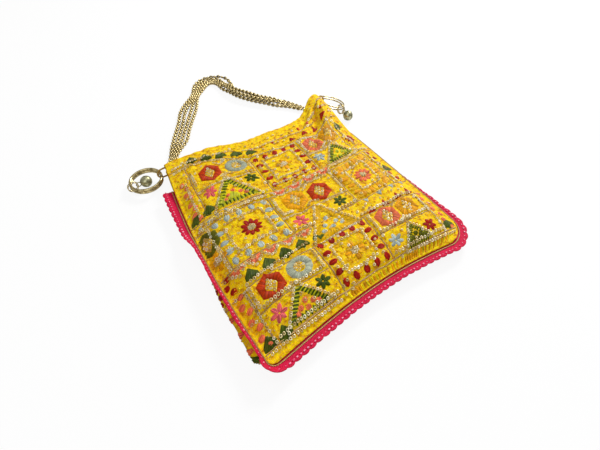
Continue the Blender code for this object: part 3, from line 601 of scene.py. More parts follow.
class Stitching:
    """Collects raised patches, braid lines and sequins on the flat cloth, then drapes them on a panel."""

    def __init__(self):
        self.places, self.stitch, self.faces, self.indices = [], [], [], []
        self.count = 0
        self.sequins = []
        self.lines = []
        self.motifs = []  # middles and radii, which loose sequins and specks leave clear

    def add_grid(self, points, heights, stitch, material, closed=False, cap=None):
        """A grid of points, rows by columns. cap closes the last row on one more point."""
        rows, columns = points.shape[:2]
        faces = grid_faces(rows, columns, closed_columns=closed)
        flat = np.concatenate([points.reshape(-1, 2), heights.reshape(-1, 1)], axis=1)
        threads = stitch.reshape(-1, 3)
        if cap is not None:
            centre, height, thread = cap
            flat = np.vstack([flat, [*centre, height]])
            threads = np.vstack([threads, thread])
            start = (rows - 1) * columns
            faces += [[start + j, start + (j + 1) % columns, rows * columns] for j in range(columns)]
        self.places.append(flat)
        self.stitch.append(threads)
        self.faces += [[self.count + k for k in face] for face in faces]
        self.indices += [material] * len(faces)
        self.count += len(flat)

    def patch(self, outline, colour, angle, height=0.55):
        """A satin-stitched field with its threads at an angle in degrees."""
        outline = rounded(np.array(outline, dtype=float), 0.9)
        outline = outline + RANDOM.uniform(-0.13, 0.13, outline.shape)
        centre = outline.mean(axis=0)
        inset = np.array([1.0, 0.84, 0.45])
        points = centre + (outline - centre)[None] * inset[:, None, None]
        heights = np.repeat(np.array([-0.12, 0.75 * height, height])[:, None], len(outline), axis=1)
        tone = RANDOM.uniform()
        cos, sin = math.cos(math.radians(angle)), math.sin(math.radians(angle))

        def threads(xy):
            along = xy[..., 0] * cos + xy[..., 1] * sin
            across = xy[..., 1] * cos - xy[..., 0] * sin
            return np.stack([along, across, np.full(along.shape, tone)], axis=-1)

        cap = (centre, height, threads(centre))
        self.add_grid(points, heights, threads(points), COLOUR_INDEX[colour], closed=True, cap=cap)

    def frame(self, outer, inner, colour, height=0.7):
        """A ring of satin stitches, square to its edge, between two outlines with as many corners."""
        steps = 6
        outer, inner = (edge_points(np.array(line, dtype=float), steps) for line in (outer, inner))
        shares = np.array([0.0, 0.12, 0.5, 0.88, 1.0])
        lift = np.array([-0.12, 0.8, 1.0, 0.8, -0.05]) * height
        points = mix(outer[None], inner[None], shares[:, None, None])
        around = lengths_along(outer)
        width = np.linalg.norm(outer - inner, axis=1).mean()
        stitch = np.zeros((*points.shape[:2], 3))
        stitch[..., 0] = shares[:, None] * width
        stitch[..., 1] = around[None]
        stitch[..., 2] = RANDOM.uniform()
        heights = np.repeat(lift[:, None], len(outer), axis=1)
        self.add_grid(points, heights, stitch, COLOUR_INDEX[colour], closed=True)

    def braid(self, points, quilted=True):
        """A couched braid along a line of points. The quilting and running stitches follow a quilted one."""
        points = np.array(points, dtype=float)
        if quilted:
            self.lines += [(tuple(a), tuple(b)) for a, b in zip(points, points[1:])]
            for a, b in zip(points, points[1:]):
                self.running_stitches(a, b)
        line = even_points(points, BRAID_STEP)
        wander = [noise(*line.T, scale, seed) for scale, seed in ((11.0, 31), (9.0, 32))]
        line = line + 0.5 * np.stack(wander, axis=1)
        way = directions(line)
        side = np.stack([-way[:, 1], way[:, 0]], axis=1)
        offsets = np.array([-0.5, -0.3, 0.0, 0.3, 0.5]) * BRAID_WIDTH
        lift = np.array([-0.15, 0.75, 1.0, 0.75, -0.15]) * BRAID_HEIGHT
        grid = line[None] + offsets[:, None, None] * side[None]
        stitch = np.zeros((*grid.shape[:2], 3))
        stitch[..., 0] = np.arange(len(line))[None] * BRAID_STEP
        stitch[..., 1] = offsets[:, None]
        self.add_grid(grid, np.repeat(lift[:, None], len(line), axis=1), stitch, 0)

    def is_free(self, p, q):
        """Whether a place is clear of all motifs."""
        return all(math.hypot(p - mp, q - mq) > radius for mp, mq, radius in self.motifs)

    def running_stitches(self, a, b):
        """Short pale stitches along both sides of a couched line."""
        way = (b - a) / np.linalg.norm(b - a)
        side = np.array([-way[1], way[0]])
        half_long, half_wide = way * 0.95, side * 0.32
        angle = math.degrees(math.atan2(way[1], way[0]))
        for k in range(int(np.linalg.norm(b - a) / RUN_APART)):
            for aside in (-1, 1):
                along = RUN_APART * k + 1.5 + RANDOM.uniform(-0.3, 0.3)
                middle = a + way * along + side * aside * RANDOM.uniform(2.2, 3.0)
                near, far = middle - half_long, middle + half_long
                outline = [near - half_wide, far - half_wide, far + half_wide, near + half_wide]
                self.patch(outline, ("cream", "gold")[k % 2], angle, 0.4)

    def sequin_row(self, points, closed=False):
        """Sequins one after another along a line."""
        points = np.array(points, dtype=float)
        if closed:
            points = np.vstack([points, points[:1]])
        row = even_points(points, SEQUIN_STEP)
        row = row[:-1] if closed else row
        self.sequins.append(row + RANDOM.uniform(-0.25, 0.25, row.shape))

    def build(self, prefix, surface, outside):
        """Drapes all that was collected, without what reaches past the cloth's edges."""
        flat = np.vstack(self.places)
        inside = (np.abs(flat[:, 0]) < FLAT / 2 - 1) & (flat[:, 1] > 1) & (flat[:, 1] < TALL - 0.5)
        verts = drape(surface, flat[:, 0], flat[:, 1], flat[:, 2] * MM, outside, self.lines)
        faces, indices = [], []
        for face, index in zip(self.faces, self.indices):
            if all(inside[k] for k in face):
                faces.append(face if outside > 0 else face[::-1])
                indices.append(index)
        used = np.unique(np.concatenate([np.array(f) for f in faces]))
        order = np.full(len(verts), -1)
        order[used] = np.arange(len(used))
        faces = [[int(order[k]) for k in face] for face in faces]
        make_piece(f"{prefix}_embroidery", verts[used], faces, STITCHERY, "bag",
                   indices=indices, stitch=np.vstack(self.stitch)[used])
        self.build_sequins(prefix, surface, outside)

    def build_sequins(self, prefix, surface, outside):
        """Cupped washers, each tipped a little its own way."""
        spots = np.vstack(self.sequins)
        near = (np.abs(spots[:, 0]) < FLAT / 2 - 3) & (spots[:, 1] > 3) & (spots[:, 1] < TALL - 3)
        spots = spots[near]
        kept = []
        for spot in spots:
            if all(math.hypot(*(spot - other)) > SEQUIN_APART for other in kept[-RECENT:]):
                kept.append(spot)
        spots = np.array(kept)
        count, around = len(spots), SEQUIN_SIDES
        angles = np.arange(around) * math.tau / around
        ring = np.stack([np.cos(angles), np.sin(angles)], axis=1)
        radii = np.array([0.40, 1.0, 0.93]) * SEQUIN_RADIUS
        lift = np.array([0.62, 0.92, 0.45])
        tip = RANDOM.uniform(-0.2, 0.2, (count, 2))
        flat = spots[:, None, None] + radii[None, :, None, None] * ring[None, None]
        tipped = (ring[None] * tip[:, None]).sum(axis=-1)
        heights = lift[None, :, None] + radii[None, :, None] * tipped[:, None]
        flat, heights = flat.reshape(-1, 2), heights.reshape(-1)
        verts = drape(surface, flat[:, 0], flat[:, 1], heights * MM, outside, self.lines)
        one = grid_faces(3, around, closed_rows=True, closed_columns=True, flip=outside < 0)
        faces = (np.array(one)[None] + 3 * around * np.arange(count)[:, None, None]).reshape(-1, 4).tolist()
        stitch = np.zeros((len(verts), 3))
        stitch[:, 2] = np.repeat(RANDOM.uniform(size=count), 3 * around)
        make_piece(f"{prefix}_sequins", verts, faces, [SEQUINS], "bag", stitch=stitch)


def even_points(points, step):
    """Points a step apart along a line."""
    lengths = lengths_along(points)
    at = np.linspace(0.0, lengths[-1], max(2, round(lengths[-1] / step) + 1))
    return np.stack([np.interp(at, lengths, points[:, k]) for k in (0, 1)], axis=1)


def rounded(outline, step):
    """A closed outline's points a step apart, with softened corners."""
    closed = np.vstack([outline, outline[:1]])
    line = even_points(closed, step)[:-1]
    return (np.roll(line, 1, axis=0) + 2 * line + np.roll(line, -1, axis=0)) / 4


def edge_points(outline, steps):
    """As many points along each side of a closed outline."""
    shares = np.arange(steps) / steps
    after = np.roll(outline, -1, axis=0)
    return mix(outline[:, None], after[:, None], shares[None, :, None]).reshape(-1, 2)


def polygon(p, q, radius, sides, turn=90.0, squash=1.0):
    """Corners of a regular polygon, the first of them at turn degrees, so mostly at the top."""
    angles = np.radians(turn + 360.0 * np.arange(sides) / sides)
    return np.stack([p + squash * radius * np.cos(angles), q + radius * np.sin(angles)], axis=1)


def petal(cloth, p, q, angle, near, far, width, colour):
    """A pointed stitch of thread that leaves a middle at an angle."""
    way = np.array([math.cos(math.radians(angle)), math.sin(math.radians(angle))])
    side = np.array([-way[1], way[0]])
    outline = [np.array([p, q]) + way * mix(near, far, u) + side * v * width / 2
               for u, v in ((0, -0.35), (0.35, -1), (0.75, -0.9), (1, 0), (0.75, 0.9), (0.35, 1), (0, 0.35))]
    cloth.patch(outline, colour, angle)


def star(cloth, p, q, colour):
    """A small flower of uneven petals, turned its own way."""
    radius, petals = 7.4, 6
    turn = RANDOM.uniform(0, 60)
    cloth.motifs.append((p, q, radius + 1))
    for k in range(petals):
        far = radius * RANDOM.uniform(0.85, 1.05)
        petal(cloth, p, q, turn + 360 * k / petals, 0.4, far, 3.6, colour)


def flower(cloth, p, q, colour, middle):
    """Stitched petals round a middle of sequins."""
    petals = 10
    cloth.motifs.append((p, q, 11))
    for k in range(petals):
        petal(cloth, p, q, 360 * k / petals, 2.8, 9.6, 4.0, colour)
    cloth.patch(polygon(p, q, 2.6, 8), middle, 0)
    cloth.sequins.append(cluster(p, q, 2.3, 6))


def cluster(p, q, radius, count):
    """A middle place and others round it."""
    return np.vstack([[[p, q]], polygon(p, q, radius, count)])


def soft_flower(cloth, p, q, colour):
    """Broad petals in two tones round a cluster of sequins."""
    for k in range(8):
        petal(cloth, p, q, 45 * k, 2.8, 9.5 - 1.5 * (k % 2), 4.6, (colour, "gold")[k % 2])
    cloth.sequins.append(cluster(p, q, 2.4, 6))


LOZENGE = (
    (0.0, 6.0), (-1.6, 3.4), (1.6, 3.4), (-3.1, 0.0), (0.0, 0.6), (3.1, 0.0), (-1.6, -2.8), (1.6, -2.8),
    (0.0, -5.6),
)


def hexagon(cloth, p, q, colour):
    """A satin frame round a lozenge that is filled with sequins."""
    cloth.motifs.append((p, q, 13.5))
    if colour == "grey":
        outer = polygon(p, q, 10.6, 12, squash=0.98)
        inner = polygon(p, q, 5.2, 12, squash=0.8)
    else:
        outer = polygon(p, q, 12.4, 6, squash=0.94)
        inner = np.array([[p, q + 7.8], [p - 4.6, q + 1.0], [p - 4.6, q - 1.0],
                          [p, q - 7.8], [p + 4.6, q - 1.0], [p + 4.6, q + 1.0]])
    cloth.frame(outer, inner, colour)
    lozenge = [(u, v) for u, v in LOZENGE if colour != "grey" or abs(v) < 5]
    cloth.sequins.append(np.array([[p + u, q + v] for u, v in lozenge]))


def drop(cloth, p, q, angle, colour, size):
    """A short fat stitch group, pointed at one end."""
    petal(cloth, p, q, angle, -3.2 * size, 3.5 * size, 4.6 * size, colour)


def inset_corners(left, right, low, high, inset):
    """Corners of a square drawn in on all sides."""
    left, right, low, high = left + inset, right - inset, low + inset, high - inset
    return [(left, low), (right, low), (right, high), (left, high)]


def ring_square(cloth, left, right, low, high, dash):
    """A square set round with pointed dashes, then a line of sequins inside them."""
    edge, each = 4.2, 5
    for k in range(each):
        u = mix(left + edge, right - edge, k / (each - 1))
        v = mix(low + edge, high - edge, k / (each - 1))
        drop(cloth, u, low + edge, -90 + RANDOM.uniform(-15, 15), dash, 1.2)
        drop(cloth, u, high - edge, 90 + RANDOM.uniform(-15, 15), dash, 1.2)
        if 0 < k < each - 1:
            drop(cloth, left + edge, v, 180 + RANDOM.uniform(-15, 15), dash, 1.2)
            drop(cloth, right - edge, v, RANDOM.uniform(-15, 15), dash, 1.2)
    cloth.sequin_row(inset_corners(left, right, low, high, 9.4), closed=True)


def amber_square(cloth, left, right, low, high):
    """A square whose border is ribbed in amber."""
    for k in range(9):
        u = mix(left + 4, right - 4, k / 8)
        v = mix(low + 4, high - 4, k / 8)
        tone = ("gold", "amber")[k % 2]
        for p, q, angle in ((u, low + 5, 90), (u, high - 5, 90), (left + 5, v, 0), (right - 5, v, 0)):
            petal(cloth, p, q, angle, -4.4, 4.4, 5.4, tone)
    cloth.sequin_row(inset_corners(left, right, low, high, 10.0), closed=True)


def wedge(cloth, tip, base_left, base_right, bars, inner, kind):
    """A triangle edged with sequins, with dots inside a frame that is plain or barred with short stitches."""
    tip, left, right = (np.array(c, dtype=float) for c in (tip, base_left, base_right))
    centre = (tip + left + right) / 3
    cloth.sequin_row([left, tip, right])
    cloth.braid([left + (0, -1.5), right + (0, -1.5)], quilted=False)
    if kind == "barred":
        cloth.frame([mix(c, centre, 0.08) for c in (tip, left, right)],
                    [mix(c, centre, 0.44) for c in (tip, left, right)], bars[1], 0.3)
        for a, b in ((left, tip), (right, tip), (left, right)):
            for k in range(9):
                middle = mix(mix(a, b, (k + 0.6) / 9.2), centre, 0.27)
                way = centre - mix(a, b, 0.5)
                petal(cloth, *middle, math.degrees(math.atan2(way[1], way[0])), -3.0, 3.0, 1.9, bars[0])
        spots = ((0.42, 0.0), (0.30, -0.13), (0.30, 0.13), (0.20, -0.22), (0.20, 0.0), (0.20, 0.22))
    else:
        cloth.frame([tip, left, right], [mix(c, centre, 0.42) for c in (tip, left, right)], bars[0], 0.6)
        spots = ((0.50, 0.0), (0.32, -0.12), (0.32, 0.12), (0.20, -0.2), (0.20, 0.0), (0.20, 0.2))
    height = tip - (left + right) / 2
    for up, aside in spots:
        middle = (left + right) / 2 + height * up + (right - left) * aside
        cloth.patch(polygon(*middle, 2.5, 6), inner, 90)


def leaf(cloth, p, q, colour):
    """A spade-shaped leaf that stands on a short stem."""
    cloth.motifs.append((p, q, 8))
    outline = [(p - 1.0, q - 5), (p + 1.0, q - 5), (p + 1.2, q - 3.4), (p + 6.0, q - 3.4), (p + 5.6, q + 0.6),
               (p, q + 6.8), (p - 5.6, q + 0.6), (p - 6.0, q - 3.4), (p - 1.2, q - 3.4)]
    cloth.patch(outline, colour, 68)


def moon(cloth, p, q, colour):
    """A half moon that hangs from a line, with a sequin zigzag below."""
    steps = [math.pi + math.pi * k / 6 for k in range(7)]
    cloth.patch([(p + 6.6 * math.cos(a), q + 6.6 * math.sin(a)) for a in steps], colour, 90)
    cloth.sequins.append(np.array([[p - 1.2, q - 2.0], [p + 1.2, q - 2.0]]))
    cloth.sequin_row([(p - 7.0, q - 2), (p, q - 9.0), (p + 7.0, q - 2)])


def spike(cloth, p, q, colour):
    """A small upright triangle."""
    cloth.patch([(p - 4.4, q - 3.4), (p + 4.4, q - 3.4), (p, q + 4.8)], colour, 90)


def dot_column(cloth, p, low, high, colour, count):
    """Dots one above another, set to the right and the left by turns."""
    for k in range(count):
        aside = -1.5 if k % 2 else 1.5
        cloth.patch(polygon(p + aside, mix(low, high, k / (count - 1)), 3.0, 6), colour, 30)


# Hexagon pairs: left one, right one, the line under them and its ends, then the two stars
PAIRS = (
    ((-60, 183, "rust"), (-35, 182, "grey"), 167, -78, -22, (-68, 158, "pink"), (-30, 157, "green")),
    ((43, 172, "coral"), (64, 172, "amber"), 161, 30, 75, (37, 149, "blue"), (84, 150, "red")),
    ((-11, 110, "amber"), (12, 108, "rust"), 96, -29, 33, (-18, 86, "pink"), (20, 86, "green")),
    ((-67, 44, "rust"), (-43, 44, "grey"), 32, -83, -26, (-73, 23, "pink"), (-35, 23, "green")),
    ((42, 45, "coral"), (64, 45, "amber"), 33, 26, 82, (34, 21, "blue"), (69, 19, "red")),
)
# Wedges: tip, base corners, colours of the bars and the frame, colour of the dots, kind
WEDGES = (
    ((-50, 170), (-72, 134), (-29, 134), ("green", "lime"), "coral", "barred"),
    ((56, 160), (38, 134), (74, 134), ("green", "lime"), "lime", "barred"),
    ((0, 97), (-22, 56), (22, 56), ("gold", "amber"), "blue", "framed"),
    ((-53, 34), (-74, 9), (-33, 9), ("green", "lime"), "coral", "barred"),
    ((53, 31), (38, 9), (67, 9), ("olive", "lime"), "olive", "barred"),
)
# Couched lines: the long ones between the rows, then the upright ones between the cells
COUCHED = (
    [(-95, 207), (-60, 206), (-20, 192), (30, 188), (94, 186)],
    [(-95, 137), (-72, 133), (-27, 131), (30, 133), (94, 140)],
    [(-95, 126), (-30, 125), (36, 126), (94, 128)],
    [(-95, 76), (-29, 74), (-18, 76), (32, 76), (94, 74)],
    [(-94, 55), (-26, 54), (24, 57), (94, 55)],
    [(-94, 8), (-24, 8), (24, 8), (94, 9)],
    [(-21, 188), (-20, 133)], [(29, 186), (29, 134)], [(-79, 206), (-78, 137)],
    [(-30, 126), (-29, 75)], [(34, 126), (33, 76)], [(78, 127), (77, 76)], [(-83, 126), (-82, 76)],
    [(-25, 55), (-24, 9)], [(25, 56), (24, 9)], [(84, 55), (83, 9)], [(-84, 55), (-84, 9)],
    [(29, 160), (76, 160)], [(76, 186), (75, 140)],
)
SEQUIN_ROWS = (
    [(-93, 204), (-60, 203), (-22, 189)], [(-18, 190), (28, 185)], [(32, 184), (74, 184)],
    [(-93, 128), (-30, 128)], [(36, 129), (92, 131)], [(-27, 123), (32, 123)], [(-26, 99), (-20, 99)],
    [(-28, 60), (-80, 57)], [(26, 60), (80, 58)], [(-82, 34), (-28, 34)], [(28, 35), (80, 35)],
    [(-80, 11), (-30, 11)], [(28, 12), (80, 12)], [(-76, 164), (-24, 164)], [(32, 157), (50, 157)],
    [(-14, 138), (24, 138)], [(-18, 54), (18, 54)], [(-26, 94), (-8, 94)], [(8, 93), (30, 93)],
    [(-27, 78), (-14, 78)], [(14, 78), (30, 78)], [(38, 8), (92, 6)], [(-90, 6), (-30, 5)],
    [(-90, 210), (-30, 208)], [(-20, 204), (60, 200)], [(60, 206), (90, 212)],
)
# Columns of dots: place across, lowest, highest, colour, how many
DOT_COLUMNS = (
    (-89, 12, 54, "coral", 7), (-86, 140, 186, "coral", 8), (89, 12, 54, "coral", 7),
    (86, 80, 122, "red", 6), (89, 130, 212, "amber", 11), (-91, 62, 74, "red", 3),
)
LOOSE_STITCHES = 900


def pair(cloth, first, second, line, left, right, *stars):
    """Two hexagons over two stars, with a couched line between."""
    hexagon(cloth, *first)
    hexagon(cloth, *second)
    (p1, q1), (p2, q2) = first[:2], second[:2]
    cloth.braid([(left, line), (right, line - 1)])
    cloth.sequin_row([(left + 2, q1 + 9), (left + 2, q1 - 8)])
    cloth.sequin_row([(right - 2, q2 + 9), (right - 2, q2 - 8)])
    middle = (p1 + p2) / 2
    cloth.sequin_row([(middle - 5, q1 + 12), (middle, q1 + 8), (middle + 5, q1 + 12)])
    cloth.sequin_row([(middle - 5, q1 - 11), (middle, q1 - 8), (middle + 5, q1 - 11)])
    for place in stars:
        star(cloth, *place)


def embroider_rows(cloth):
    """The couched lines and the rows of hexagon pairs, wedges and squares between them."""
    for line in COUCHED:
        cloth.braid(line)
    for entry in PAIRS:
        pair(cloth, *entry)
    for entry in WEDGES:
        wedge(cloth, *entry)
    ring_square(cloth, -20, 29, 135, 187, "red")
    soft_flower(cloth, 4, 161, "amber")
    ring_square(cloth, -82, -30, 76, 126, "blue")
    flower(cloth, -54, 101, "red", "grey")
    amber_square(cloth, 34, 77, 76, 126)
    flower(cloth, 56, 101, "coral", "grey")
    ring_square(cloth, -24, 24, 9, 56, "red")
    soft_flower(cloth, 0, 32, "amber")
    hexagon(cloth, -89, 112, "olive")
    soft_flower(cloth, -88, 92, "amber")
    for entry in DOT_COLUMNS:
        dot_column(cloth, *entry)


def embroider_bands(cloth):
    """Leaves, moons, spikes and small triangles in the bands between the rows."""
    for p, q in ((-76, 10), (-88, 12), (88, 14), (88, 96), (84, 172)):
        leaf(cloth, p, q, "green")
    for k in range(9):
        drop(cloth, -12 + 11.5 * k, 204 - 3.0 * math.sin(k), 90, ("coral", "amber", "rust")[k % 3], 0.8)
    for k in range(5):
        moon(cloth, -80 + 14 * k, 74.5, "coral")
        leaf(cloth, -74 + 14.5 * k, 61.5, "green")
    for k in range(4):
        cloth.patch(polygon(39 + 15 * k, 72.5, 3.6, 3, turn=-90), "blue", 90)
        spike(cloth, 35 + 15 * k, 60, "red")
    for k in range(4):
        moon(cloth, -17 + 15 * k, 131, "coral")
    for k in range(5):
        leaf(cloth, -70 + 14 * k, 211 - 3.0 * k, "green")
    for k in range(4):
        spike(cloth, 30 + 15 * k, 194, "red")
        cloth.patch(polygon(-88 + 8 * k, 130.5, 2.4, 3, turn=-90), "blue", 90)
        leaf(cloth, -88 + 12 * k, 141 if k < 2 else 142, "green" if k < 2 else "lime")
    for low, high in ((77, 124), (10, 54), (142, 184)):
        cloth.sequin_row([(-84, low), (-84, high)])
        cloth.sequin_row([(81, low), (81, high)])


def embroider_ground(cloth):
    """Rows of sequins, the ribs along the base, and loose sequins and stitches where nothing else is."""
    for row in SEQUIN_ROWS:
        cloth.sequin_row(row)
    for p in np.arange(-22, 84, 2.4):
        rib = [(p - 1, 1.2), (p + 1, 1.2), (p + 1, 6.4), (p - 1, 6.4)]
        cloth.patch(rib, "amber" if p % 5 < 3 else "lemon", 90)
    for k in range(LOOSE_STITCHES):
        p, q = RANDOM.uniform(-92, 92), RANDOM.uniform(5, 214)
        if not cloth.is_free(p, q):
            continue
        if k % 2:
            cloth.sequins.append(np.array([[p, q]]))
        else:
            petal(cloth, p, q, RANDOM.uniform(0, 180), -1.6, 1.6, 1.8, ("lemon", "gold", "amber")[k // 2 % 3])


# Cloth pieces


def cloth_rows(count, surface, hem_middle, outside, columns, lines):
    """Rows of a panel from the seam to its mouth, round the hem and down the inside of the casing."""
    p = np.linspace(-FLAT / 2, FLAT / 2, columns)
    rows = [surface(p, np.full(columns, q), lines) for q in np.linspace(0, TALL, count)]
    s = 2 * p / FLAT
    x, y = plan(s, np.ones(columns))
    radius = CASING_HEIGHT / 2 * (1 + 0.22 * noise(p, p * 0, 9.0, 12))
    middle = rows[-1][:, 2] - outside * CASING_HEIGHT / 2
    for degrees in range(72, -91, -18):
        out, up = math.cos(math.radians(degrees)), math.sin(math.radians(degrees))
        rows.append(np.stack([x, y + radius * out, middle + outside * radius * up], axis=-1))
    for k in range(1, 6):
        down = CASING_DEPTH * k / 5
        t = 1 - down / mouth_height(s)
        x, y = plan(s, t)
        rows.append(np.stack([x, y, hem_middle(s, t) - outside * CASING_HEIGHT / 2], axis=-1))
    return np.array(rows)


def front_hem_middle(s, t):
    """Middle height of the front's casing."""
    return front_height(s, t, hem_top(s)) - CASING_HEIGHT / 2


def back_hem_middle(s, _):
    """Middle height of the back's casing, which lies flat."""
    return np.full(np.shape(s), BACK_LIFT + CASING_HEIGHT / 2)


def build_panel(prefix, surface, hem_middle, outside, rows, columns, cloth):
    """One side of the pouch with its embroidery."""
    grid = cloth_rows(rows, surface, hem_middle, outside, columns, cloth.lines)
    faces = grid_faces(*grid.shape[:2], flip=outside < 0)
    piece = make_piece(f"{prefix}_cloth", grid, faces, [YELLOW_CLOTH], "bag",
                       f"{prefix}_panel")
    solidify(piece, 0.8 * CLOTH)
    cloth.build(prefix, surface, outside)


LINING_CLEAR = 0.0013, 0.0014  # room to the front and to the back


def build_lining():
    """The cotton sack inside, a little creased."""
    inset, columns, rows = 0.0085, 60, 50
    s = np.linspace(-1, 1, columns) * (1 - inset / (MOUTH_WIDTH / 2))
    loops = []
    for k in range(rows):
        up = mix(inset, mouth_height(s) - CASING_DEPTH - CLOTH - GAP, (k / (rows - 1)) ** 1.1)
        t = up / mouth_height(s)
        x, y = plan(s, t)
        flat_hem = HEM_TOP + HEM_ARCH * (1 - s * s)
        top = front_height(s, t, flat_hem) - CLOTH - LINING_CLEAR[0]
        crease = 0.0004 * noise(x / MM, y / MM, 8.0, 21)
        turn = turned_up(*from_edges(s, t))
        low = BACK_RISE * turn * (1 - smooth_step(*BACK_OPENS, t)) + CLOTH + LINING_CLEAR[1]
        front_row = np.stack([x, y, top - np.abs(crease)], axis=-1)
        back_row = np.stack([x, y, low + np.abs(crease)], axis=-1)
        loops.append(np.concatenate([front_row, back_row[::-1]]))
    faces = grid_faces(rows, 2 * columns, closed_columns=True)
    faces += [[j, 2 * columns - 1 - j, 2 * columns - 2 - j, j + 1] for j in range(columns - 1)]
    piece = make_piece("lining_cloth", loops, faces, [COTTON], "bag", "lining")
    solidify(piece, 0.0005)


# Lace


def seam_line():
    """The three sewn sides, from the top left down and round to the top right."""
    left, right = LACE_TOPS
    sides = []
    for top, side, radius in ((left, -1.0, CORNER_RADII[0]), (right, 1.0, CORNER_RADII[1])):
        turn = radius * (1 - np.cos(np.radians(np.arange(90, -1, -6))))
        down = np.concatenate([np.linspace(top * HEIGHT, radius, 160)[:-1], turn])
        sides.append(np.stack(plan(np.full(len(down), side), down / mouth_height(side)), axis=1))
    sides[1] = sides[1][::-1]
    across = np.linspace(-1, 1, 160)[1:-1]
    base = np.stack(plan(across, np.zeros(len(across))), axis=1)
    return np.vstack([sides[0], base, sides[1]])


def lace_tilt(share):
    """How far the lace stands up at a share of its length: nearly flat but for the left and the top right."""
    left = smooth_step(0.09, 0.15, share) * (1 - smooth_step(0.34, 0.375, share))
    right = smooth_step(0.80, 0.90, share)
    return np.radians(LACE_FLAT + LACE_LEFT * left + LACE_RIGHT * right)


def lace_frame(step):
    """Even places along the seam: points, outward directions, lengths and the lace's tilt."""
    line = even_points(seam_line(), step)
    way = directions(line)
    along = np.arange(len(line)) * step
    out = np.stack([way[:, 1], -way[:, 0]], axis=1)
    return line, out, along, lace_tilt(along / along[-1])


def lace_place(line, out, tilt, across, height):
    """A place on the lace: across from the seam and a height above its face."""
    bend = np.clip(across, 0, None)
    reach = np.minimum(across, 0) + bend * np.cos(tilt) - height * np.sin(tilt)
    rise = bend * np.sin(tilt) + height * np.cos(tilt)
    low = BACK_RISE + CLOTH + GAP + LACE_THICKNESS / 2
    return np.concatenate([line + out * reach[:, None], (low + rise)[:, None]], axis=1)


def lace_width(share):
    """The share of its width that the lace shows: it is tucked under towards its top right end."""
    return 1 - 0.85 * smooth_step(0.70, 0.90, share) + 0.25 * (1 - smooth_step(0.0, 0.10, share))


def ruffle(along, across):
    """The lace's wave, which grows towards its free edge."""
    return 0.00065 * noise(along / MM, across * 0, 11.0, 41) * np.clip(across / LACE_OUT, 0, 1)


# Millimetres from the seam, and half widths
EYELET, EYELET_SIZE = 4.0, 0.55
KNOT, KNOT_SIZE = 7.0, 0.9
# Metres
LOOP_HEIGHT = 0.00010
EYELET_DEPTH = 0.00045
KNOT_HEIGHT = 0.00040


def build_lace():
    """The lace itself: a scalloped edge, rows of loops, eyelets and a knot in each scallop."""
    line, out, along, tilt = lace_frame(0.00055)
    columns = 20
    wave = np.abs(np.sin(math.pi * along / SCALLOP))
    width = lace_width(along / along[-1])
    reach = (LACE_OUT - SCALLOP_DEPTH * (1 - wave ** 0.7)) * width
    rows, stitch = [], []
    for k in range(columns):
        share = k / (columns - 1)
        across = mix(-SEAM_ALLOWANCE * 0.8, reach, share)
        across_mm = across / MM / width
        loops = np.sin(math.tau * along / MM / LACE_LOOP) * np.sin(math.tau * across_mm / LACE_ROW)
        eyelet = np.exp(-(((across_mm - EYELET) / EYELET_SIZE) ** 2))
        eyelet = eyelet * np.clip(np.cos(math.tau * along / (SCALLOP / 2)), 0, 1)
        knot = np.exp(-(((across_mm - KNOT) / KNOT_SIZE) ** 2)) * wave**3
        face = LOOP_HEIGHT * loops - EYELET_DEPTH * eyelet + KNOT_HEIGHT * knot + ruffle(along, across)
        rows.append(lace_place(line, out, tilt, across, face))
        stitch.append(np.stack([along / MM, across_mm, 0 * along], axis=1))
    faces = grid_faces(columns, len(line))
    piece = make_piece("lace", rows, faces, [PINK_LACE], "bag", "lace_trim", stitch=stitch)
    solidify(piece, 0.7 * LACE_THICKNESS, offset=0)


GOLD_PLACE = 0.0016  # from the seam
GOLD_HALF = 0.00055, 0.00045  # half its width and half its height
GOLD_TWIST = 0.0014  # length of one turn


def build_gold_thread():
    """The thread that runs beside the seam."""
    line, out, along, tilt = lace_frame(0.0007)
    sides = 7
    rings = []
    for k in range(sides):
        angle = math.tau * k / sides
        wander = 0.00012 * np.sin(math.tau * along / GOLD_TWIST)
        across = GOLD_PLACE + GOLD_HALF[0] * math.cos(angle) + wander
        height = 0.0006 + GOLD_HALF[1] * math.sin(angle) + ruffle(along, across)
        rings.append(lace_place(line, out, tilt, across, height))
    stitch = np.zeros((sides, len(line), 3))
    stitch[..., 0] = along[None] / MM
    stitch[..., 1] = np.arange(sides)[:, None] * 0.6
    faces = grid_faces(sides, len(line), closed_rows=True)
    make_piece("lace_gold_thread", rings, faces, [BRAID], "bag", stitch=stitch)


SPOT_PLACE = 0.0058  # from the seam
SPOT = 0.00085, 0.0011, 0.00065  # half its width and length, and its height


